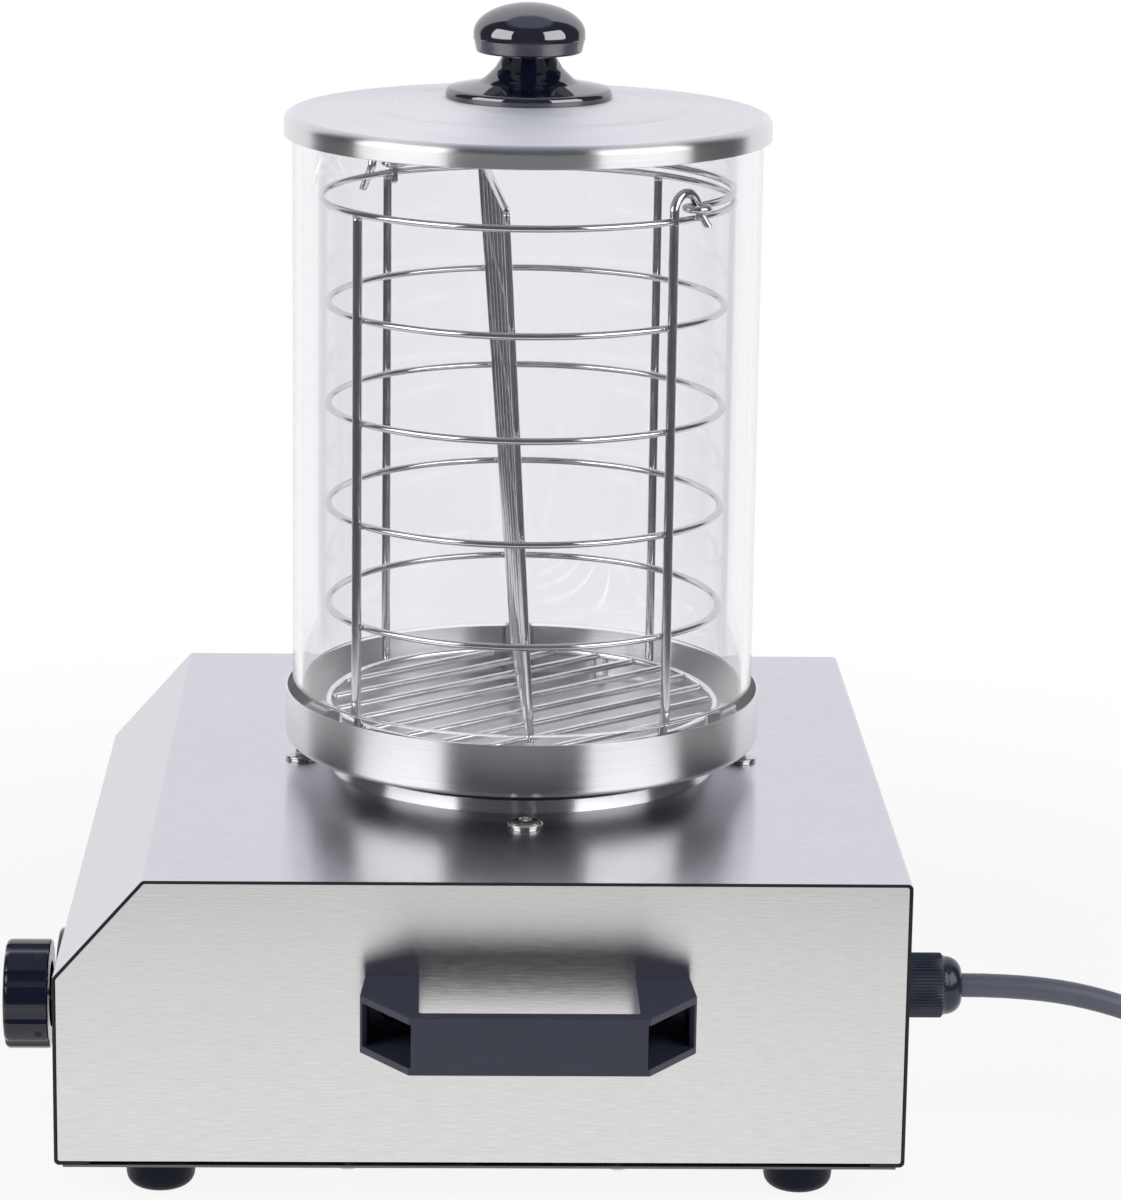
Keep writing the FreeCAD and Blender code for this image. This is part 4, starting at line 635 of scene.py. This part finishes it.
def make_lid_grip(finishes):
    """The lid's grip: a foot, a neck and a skirt with a parting ridge, under a dome that is half an ellipse."""
    bend = np.linspace(0, math.pi / 2, 24)
    dome = np.stack((23.7 * np.cos(bend), 27.2 + 12.8 * np.sin(bend)), 1)
    grip = rounded([(3.1, 0), (35.3, 0, 0.5), (35.3, 4, 2.2), (20.0, 7.0, 8), (14.4, 12.4, 6), (10.4, 19.2, 1.2),
                    (22.3, 19.2, 1.2), (23.6, 24.95), (23.85, 25.2), (23.65, 25.45)], 10)
    bore = [(0, 14.9), (3.1, 14.9)]
    knob = on_tower(np.concatenate((grip, dome, bore)), CROWN_Z, 160)
    make_piece("lid_grip", [knob], finishes["gloss_plastic"], "lid", ("lid_knob",))


def make_heater(finishes):
    """The hot plate, and the trim ring round it. The plate's top carries fine turned rings: its height falls by a
    small cosine of the radius."""
    radius = np.linspace(0, 68, 340)
    half_depth, pitch = 0.1, 2.0
    rings = np.stack((radius, -half_depth * (1 - np.cos(TURN * radius / pitch))), 1)
    rest = rounded([(69, 0), (72.5, 0, 1.5), (72.5, -7, 1.5), (69, -7), (69, -14), (4.1, -14), (4.1, -7),
                    (0, -7)])
    plate = on_tower(np.concatenate((rings, rest)), HOT_Z, 128, ring=False)
    make_piece("iron_plate", [plate], finishes["plate_iron"], "base", ("hot_plate",))
    trim = rounded([(85, 0, 0.2), (83.4, 5.6, 0.6), (79.6, 5.6, 0.3), (79.6, 4.5), (82, 0)])
    ring = on_tower(trim, TOP_Z, 192)
    make_piece("plate_trim", [ring], finishes["trim_steel"], "base", ("overflow_ring",))


def make_top_screws(finishes):
    """Low round heads with six-lobed sockets: a head falls by the square of the radius from its socket to its
    edge, and a socket row's radius is scaled by 1 + 0.12 cos 6a, by the row's share of the lobes."""
    radius = np.linspace(7.2, 3.2, 12)
    dome = np.stack((radius, 0.95 + 1.65 * (1 - ((radius - 3.0) / 4.2) ** 2), np.zeros(12)), 1)
    low = [(0, -12, 0), (4, -12, 0), (4, 0, 0), (7.0, 0, 0), (7.3, 0.25, 0), (7.3, 0.7, 0)]
    socket = [(2.9, 2.55, 0.6), (2.75, 2.3, 1), (2.7, 1.3, 1), (0, 1.05, 0)]
    rows = np.concatenate((low, dome, socket))

    def lobes(row, angle):
        return 1 + 0.12 * rows[row[:, 0], 2:] * np.cos(6 * angle)

    washer = 0.6
    heads = [turned(rows[:, :2], (x, y, TOP_Z + washer), columns=96, bulge=lobes) for x, y in TOP_SCREWS]
    make_piece("lobed_screws", heads, finishes["bright_fasteners"], "base", ("top_screws",))


def make_basket(finishes):
    """The basket's wires: rings, uprights, floor grill, feet, the divider between two rails, and the hooks that
    the bail hangs in, each a bow with a loose tail and a straight foot."""
    chrome = finishes["basket_wire"]

    def on_basket(name, sheets, node, finish=chrome):
        make_piece(name, sheets, finish, "basket", (node,))

    on_basket("top_ring", [hoop(*TOP_RING, RING_WIRE)], "basket_top_ring")
    on_basket("floor_ring", [hoop(*FLOOR_RING, FLOOR_RING_WIRE)], "basket_floor_ring", finishes["grill"])
    for number, height in enumerate(HOOP_HEIGHTS, 1):
        on_basket(f"hoop_{number}", [hoop(HOOP_RADIUS, height, RING_WIRE)], f"basket_hoop_{number}")

    uprights = []
    for angle in UPRIGHT_ANGLES:
        ends = [polar(angle, TOP_RING[0], height) for height in UPRIGHT_ENDS]
        uprights.append(wire(ends, UPRIGHT_WIRE, axes_at(angle)[0]))
    on_basket("uprights", uprights, "basket_uprights")

    grill = [wire(grill_wire(step), GRILL_WIRE, UP) for step in GRILL_STEPS]
    on_basket("floor_grill", grill, "basket_floor_wires", finishes["grill"])

    feet = []
    for angle in FOOT_ANGLES:
        outward, onward = axes_at(angle)
        middle = polar(angle, FLOOR_RING[0], 152.85)
        bend = arc(middle, 3.0, 180, 360, onward, UP, 15)
        leg = 8.98 * UP
        path = np.concatenate((bend[:1] + leg, bend, bend[-1:] + leg))
        feet.append(wire(path, FOOT_WIRE, outward, sides=12))
    on_basket("wire_feet", feet, "basket_feet")

    rails = []
    low_rail = (LOW_RAIL_HALF, 0.0, LOW_RAIL_Z, LOW_RAIL_TURN)
    top_rail = (TOP_RAIL_HALF, TOP_RAIL_SHIFT, TOP_RAIL_Z, TOP_RAIL_TURN)
    for half, shift, height, slope in (low_rail, top_rail):
        middle = TOWER + (0, -shift, height)
        reach = half * np.array((math.cos(slope), math.sin(slope), 0.0))
        rails.append(wire((middle - reach, middle + reach), RING_WIRE, UP))
    on_basket("divider_bars", rails, "divider_rails")
    rods = [wire(divider_rod(step), RING_WIRE if abs(step) == 3 else ROD_WIRE, (1, 0, 0)) for step in ROD_STEPS]
    on_basket("divider_rods", rods, "divider_wires")

    hooks = []
    for angle, tail in ((HOOK_ANGLE, 7.5), (HOOK_ANGLE + 180, 11.0)):
        outward, onward = axes_at(angle)
        middle = polar(angle, HOOK_REACH, HOOK_Z)
        bow = arc(middle, HOOK_RADIUS, 0, 180, onward, UP, 25)
        share = np.linspace(1, 0.25, 4)[:, None]
        loose = bow[:1] + share * (4.4 * outward + 1.6 * onward - tail * UP)
        foot = bow[-1:] - (0, 0, HOOK_Z - HOOK_FOOT_Z)
        hooks.append(wire(np.concatenate((loose, bow, foot)), UPRIGHT_WIRE, outward))
    on_basket("hooks", hooks, "bail_hooks")


def grill_wire(step):
    """A wire's two ends in the floor ring's plane: it stops where its edge meets the inner side of the ring."""
    outward, onward = axes_at(GRILL_ANGLE)
    inner = 82.9
    half = math.sqrt(inner ** 2 - (GRILL_PITCH * abs(step) + GRILL_WIRE) ** 2)
    middle = TOWER + GRILL_PITCH * step * outward + (0, 0, FLOOR_RING[1])
    return np.array((middle - half * onward, middle + half * onward))


def divider_rod(step):
    """A rod's two ends between the divider's rails; the rod at each end passes the end of the low rail."""
    x = step * ROD_PITCH
    heights = np.array((LOW_RAIL_Z + (-1.5 if abs(step) == 3 else 1.45), TOP_RAIL_Z - 1.45))
    twist = math.tan(TOP_RAIL_TURN) - math.tan(LOW_RAIL_TURN)
    slant = (TOP_RAIL_SHIFT - x * twist) / (TOP_RAIL_Z - LOW_RAIL_Z)
    y = TOWER[1] + x * math.tan(LOW_RAIL_TURN) - slant * (heights - LOW_RAIL_Z)
    return np.stack((np.full(2, x), y, heights), 1)


def make_welds(finishes):
    """Beads where the basket's wires are welded: on the uprights at each ring, and at the ends of grill and
    rods."""
    beads = []
    for angle in UPRIGHT_ANGLES:
        outward, onward = axes_at(angle)
        for height in HOOP_HEIGHTS + (FLOOR_RING[1],):
            beads.append(bead(polar(angle, 86.1, height), 0.8 * outward, 1.7 * onward, 1.5 * UP))
        beads.append(bead(polar(angle, TOP_RING[0], UPRIGHT_ENDS[1]), 2.1 * outward, 2.2 * onward, 0.9 * UP))
    outward, onward = axes_at(GRILL_ANGLE)
    for step in GRILL_STEPS:
        for spot in grill_wire(step):
            beads.append(bead(spot, 1.9 * outward, 0.9 * onward, 1.5 * UP))
    for step in ROD_STEPS:
        for spot in divider_rod(step):
            beads.append(bead(spot, np.array((1.7, 0, 0)), np.array((0, 1.5, 0)), 0.6 * UP))
    make_piece("weld_beads", beads, finishes["weld"], "basket")


def make_bail(finishes):
    """The bail, folded flat: an arc of wire between two closed eyes, which hang on the bows of the hooks."""
    outward, onward = axes_at(HOOK_ANGLE)
    middle = TOWER + (0, 0, HOOK_Z)
    shift, radius, start, eye_radius = 5.288, 84.712, 3.328, 4.6
    bow = arc(middle + shift * onward, radius, start, 180 - start, outward, onward, 97)
    sheets = [wire(bow, GRILL_WIRE, UP)]
    for side in (-1, 1):
        centre = middle + side * HOOK_REACH * outward + HOOK_RADIUS * onward
        eye = arc(centre, eye_radius, 0, 360, outward, onward, 33)[:-1]
        sheets.append(wire(eye, GRILL_WIRE, UP, closed=True))
    make_piece("bail", sheets, finishes["basket_wire"], "bail", ("lifting_bail",))


# Casing's fittings

def make_handles(finishes):
    for side in ("left", "right"):
        make_softened(f"handle_{side}", 1.2, finishes["handle_plastic"], "base")


def make_gland_cap(finishes):
    """The gland's nut: sixty ribs, as a cosine on the radius, and an end that is a quarter of an ellipse."""
    ribbed = [(9.2, 0), (13.0, 0), (13.6, 0.8), (13.8, 1.2), (13.8, 16.2), (13.6, 16.8), (12.9, 17.2)]
    bend = np.linspace(0, math.pi / 2, 14)
    dome = np.stack((6.2 + 6.2 * np.cos(bend), 18.2 + 7.1 * np.sin(bend)), 1)
    inside = [(5.3, 25.1), (5.3, 17.0), (9.2, 17.0)]
    profile = np.concatenate((ribbed, dome, inside))
    share = np.zeros((len(profile), 1))
    share[2:6] = 1

    def ribs(row, angle):
        return 1 - 0.03 * share[row[:, 0]] * (0.5 - 0.5 * np.cos(60 * angle))

    nut = turned(profile, GLAND, "back", ring=True, columns=480, bulge=ribs)
    make_piece("gland_cap", [nut], finishes["gland_plastic"], "base", ("gland_nut",))


def make_dial(finishes):
    """The control knob: its radius dips by a parabola at nine flutes. Its holes are dark dishes near its foot,
    painted shade in place of the hollow inside, and its pointer is a bar with rounded corners that narrows
    towards its face."""
    profile = rounded([(0, 6), (14, 6), (14, 0), (23.2, 0, 0.8), (23.2, DIAL_HEIGHT, 2.2), (0, DIAL_HEIGHT)])
    share = np.clip((profile[:, :1] - 20) / 2, 0, 1)

    def flutes(row, angle):
        away = (np.degrees(angle) + 26) % 40 - 20
        return 1 - 0.05 * share[row[:, 0]] * np.clip(1 - (away / 9) ** 2, 0, None)

    dial = turned(profile, DIAL, "front", columns=360, bulge=flutes)
    make_piece("dial_grip", [dial], finishes["dial"], "knob", ("thermostat_knob",))

    along = np.array((0, 1.0, 0))
    holes = []
    for angle in (-119, -29, 61, 151):
        outward = np.array((math.cos(math.radians(angle)), 0, math.sin(math.radians(angle))))
        spot = DIAL - 4.2 * along + 23.1 * outward
        holes.append(bead(spot, 2.0 * along, 2.0 * np.cross(along, outward), 0.2 * outward))
    # Painted shade: flat near-black dishes stand in for the shade inside the knob's holes
    make_piece("dial_hole_shade", holes, finishes["tie_plastic"], "knob")

    bar = rounded([(-1.0, 7.0, 0.8), (1.0, 7.0, 0.8), (1.0, 20.0, 0.8), (-1.0, 20.0, 0.8)], 5)
    middle = 13.5
    rows = [np.stack((bar[:, 0] * grow, np.full(len(bar), depth), middle + (bar[:, 1] - middle) * grow), 1)
            for grow, depth in ((0, 0.2), (1, 0.2), (1, -0.12), (0.8, -0.2), (0, -0.2))]
    pointer = sheet_of(np.stack(rows) + DIAL - DIAL_HEIGHT * along)
    make_piece("knob_pointer", [pointer], finishes["pointer"], "knob")


# Studio

def make_camera():
    """The photograph's view: where it looks, its small roll, its place and its lens, as fitted to the casing."""
    look = Vector((-0.97051, 0.02798, -0.23942)).normalized()
    level = look.cross(Vector((0, 0, 1))).normalized()
    plumb = level.cross(look)
    roll = math.radians(0.784)
    right = level * math.cos(roll) + plumb * math.sin(roll)
    up = plumb * math.cos(roll) - level * math.sin(roll)
    data = bpy.data.cameras.new("camera")
    data.sensor_width = 36.0
    data.lens = 134.628
    camera = bpy.data.objects.new("camera", data)
    scene.collection.objects.link(camera)
    place = Matrix((right, up, -look)).transposed().to_4x4()
    place.translation = (1.89591, -0.02110, 0.67523)
    camera.matrix_world = place
    scene.camera = camera


class Studio(Nodes):
    """The world's or the floor's tree, which treats direct views, reflections and soft light apart."""

    def __init__(self, tree):
        super().__init__(tree)
        self.path = self.node("ShaderNodeLightPath")

    def step(self, value, low, high):
        inputs = [("Value", value), ("From Min", low), ("From Max", high)]
        return self.node("ShaderNodeMapRange", inputs, interpolation_type="SMOOTHSTEP")[0]

    def in_back(self, spot):
        """Zero to one, from the camera's side to the room's back, by the angle of a place or direction."""
        split = self.node("ShaderNodeSeparateXYZ", [(0, spot)])
        turn = self.math("ABSOLUTE", self.math("ARCTAN2", split["Y"], split["X"]))
        return self.step(turn, BACK_FROM, BACK_TO)

    def direct(self):
        """One for what the camera sees, straight, in a reflection or through glass, and zero for soft light."""
        seen = self.math("MAXIMUM", self.path["Is Camera Ray"], self.path["Is Glossy Ray"])
        return self.math("MAXIMUM", seen, self.path["Is Transmission Ray"])

    def mirrored(self):
        """One for what is seen in a reflection."""
        return self.math("GREATER_THAN", self.path["Glossy Depth"], 0.5)


def make_world():
    """White where the camera looks, also through glass. Reflections see a dark room with a pale back wall and a
    grey ceiling, by the angle from the camera's side and by the height. Soft light is even."""
    world = bpy.data.worlds.new("studio")
    scene.world = world
    world.use_nodes = True
    room = Studio(world.node_tree)
    white, dark, pale = (1.0, 1.0, 1.0), (0.085, 0.085, 0.095), (0.98, 0.98, 1.04)
    ceiling, soft = (0.33, 0.37, 0.47), (0.16, 0.16, 0.17)
    direction = room.node("ShaderNodeTexCoord")["Generated"]
    height = room.node("ShaderNodeSeparateXYZ", [(0, direction)])["Z"]
    walls = room.between(room.in_back(direction), dark, pale)
    around = room.between(room.step(height, 0.84, 0.93), walls, ceiling)
    seen = room.between(room.mirrored(), white, around)
    colour = room.between(room.direct(), soft, seen)
    world.node_tree.links.new(colour, world.node_tree.nodes["Background"].inputs["Color"])


def make_floor():
    """A pale table: the camera, metal and glass see it as white, with a faint shadow near the machine.
    Reflections see its front edge, beyond which the dark room begins."""
    finish = bpy.data.materials.new("pale_table")
    finish.use_nodes = True
    tree = finish.node_tree
    tree.nodes.remove(tree.nodes["Principled BSDF"])
    table = Studio(tree)
    spot = table.node("ShaderNodeTexCoord")["Object"]
    far = table.node("ShaderNodeVectorMath", [(0, spot)], operation="LENGTH")["Value"]
    shadow = 0.1
    fade = table.math("ADD", 1 - shadow, table.math("MULTIPLY", shadow, table.step(far, 0.3, 0.8)))
    matte = table.node("ShaderNodeBsdfDiffuse", [("Color", (0.92, 0.92, 0.92, 1.0))])[0]
    white = table.node("ShaderNodeEmission", [("Color", (1.0, 1.0, 1.0, 1.0))])[0]
    share = table.math("MULTIPLY", table.direct(), fade)
    top = table.node("ShaderNodeMixShader", [(0, share), (1, matte), (2, white)])[0]
    ahead = table.math("SUBTRACT", 1.0, table.in_back(spot))
    edge = table.math("MULTIPLY", table.step(far, 0.72, 0.88), ahead)
    gone = table.math("MULTIPLY", edge, table.mirrored())
    clear = table.node("ShaderNodeBsdfTransparent")[0]
    whole = table.node("ShaderNodeMixShader", [(0, gone), (1, top), (2, clear)])[0]
    tree.links.new(whole, tree.nodes["Material Output"].inputs["Surface"])
    mesh = bpy.data.meshes.new("floor")
    half, depth = 6.0, -1e-4
    corners = [(-half, -half, depth), (half, -half, depth), (half, half, depth), (-half, half, depth)]
    mesh.from_pydata(corners, [], [(0, 1, 2, 3)])
    mesh.materials.append(finish)
    floor = bpy.data.objects.new("floor", mesh)
    scene.collection.objects.link(floor)


def make_lamps():
    """Two upright soft boxes, on each side of the camera, that reflections see as bright panes."""
    reach, height = 1.15, 0.87
    for bearing in (-61.5, 54.0):
        data = bpy.data.lights.new("soft_box", "AREA")
        data.shape = "RECTANGLE"
        data.size = 1.0
        data.size_y = 1.07
        data.energy = 9.5
        lamp = bpy.data.objects.new("soft_box", data)
        scene.collection.objects.link(lamp)
        turn = math.radians(bearing)
        out = Vector((math.cos(turn), math.sin(turn), 0.0))
        lamp.location = Vector((0.0, 0.017, height)) + reach * out
        lamp.rotation_euler = (-out).to_track_quat("-Z", "Y").to_euler()
        lamp.visible_camera = False


make_camera()
make_world()
make_floor()
make_lamps()
FINISHES = make_finishes()
dress_solids(FINISHES)
make_cord(FINISHES)
make_tray(FINISHES)
make_glass(FINISHES)
make_lid(FINISHES)
make_lid_grip(FINISHES)
make_heater(FINISHES)
make_top_screws(FINISHES)
make_basket(FINISHES)
make_welds(FINISHES)
make_bail(FINISHES)
make_handles(FINISHES)
make_gland_cap(FINISHES)
make_dial(FINISHES)
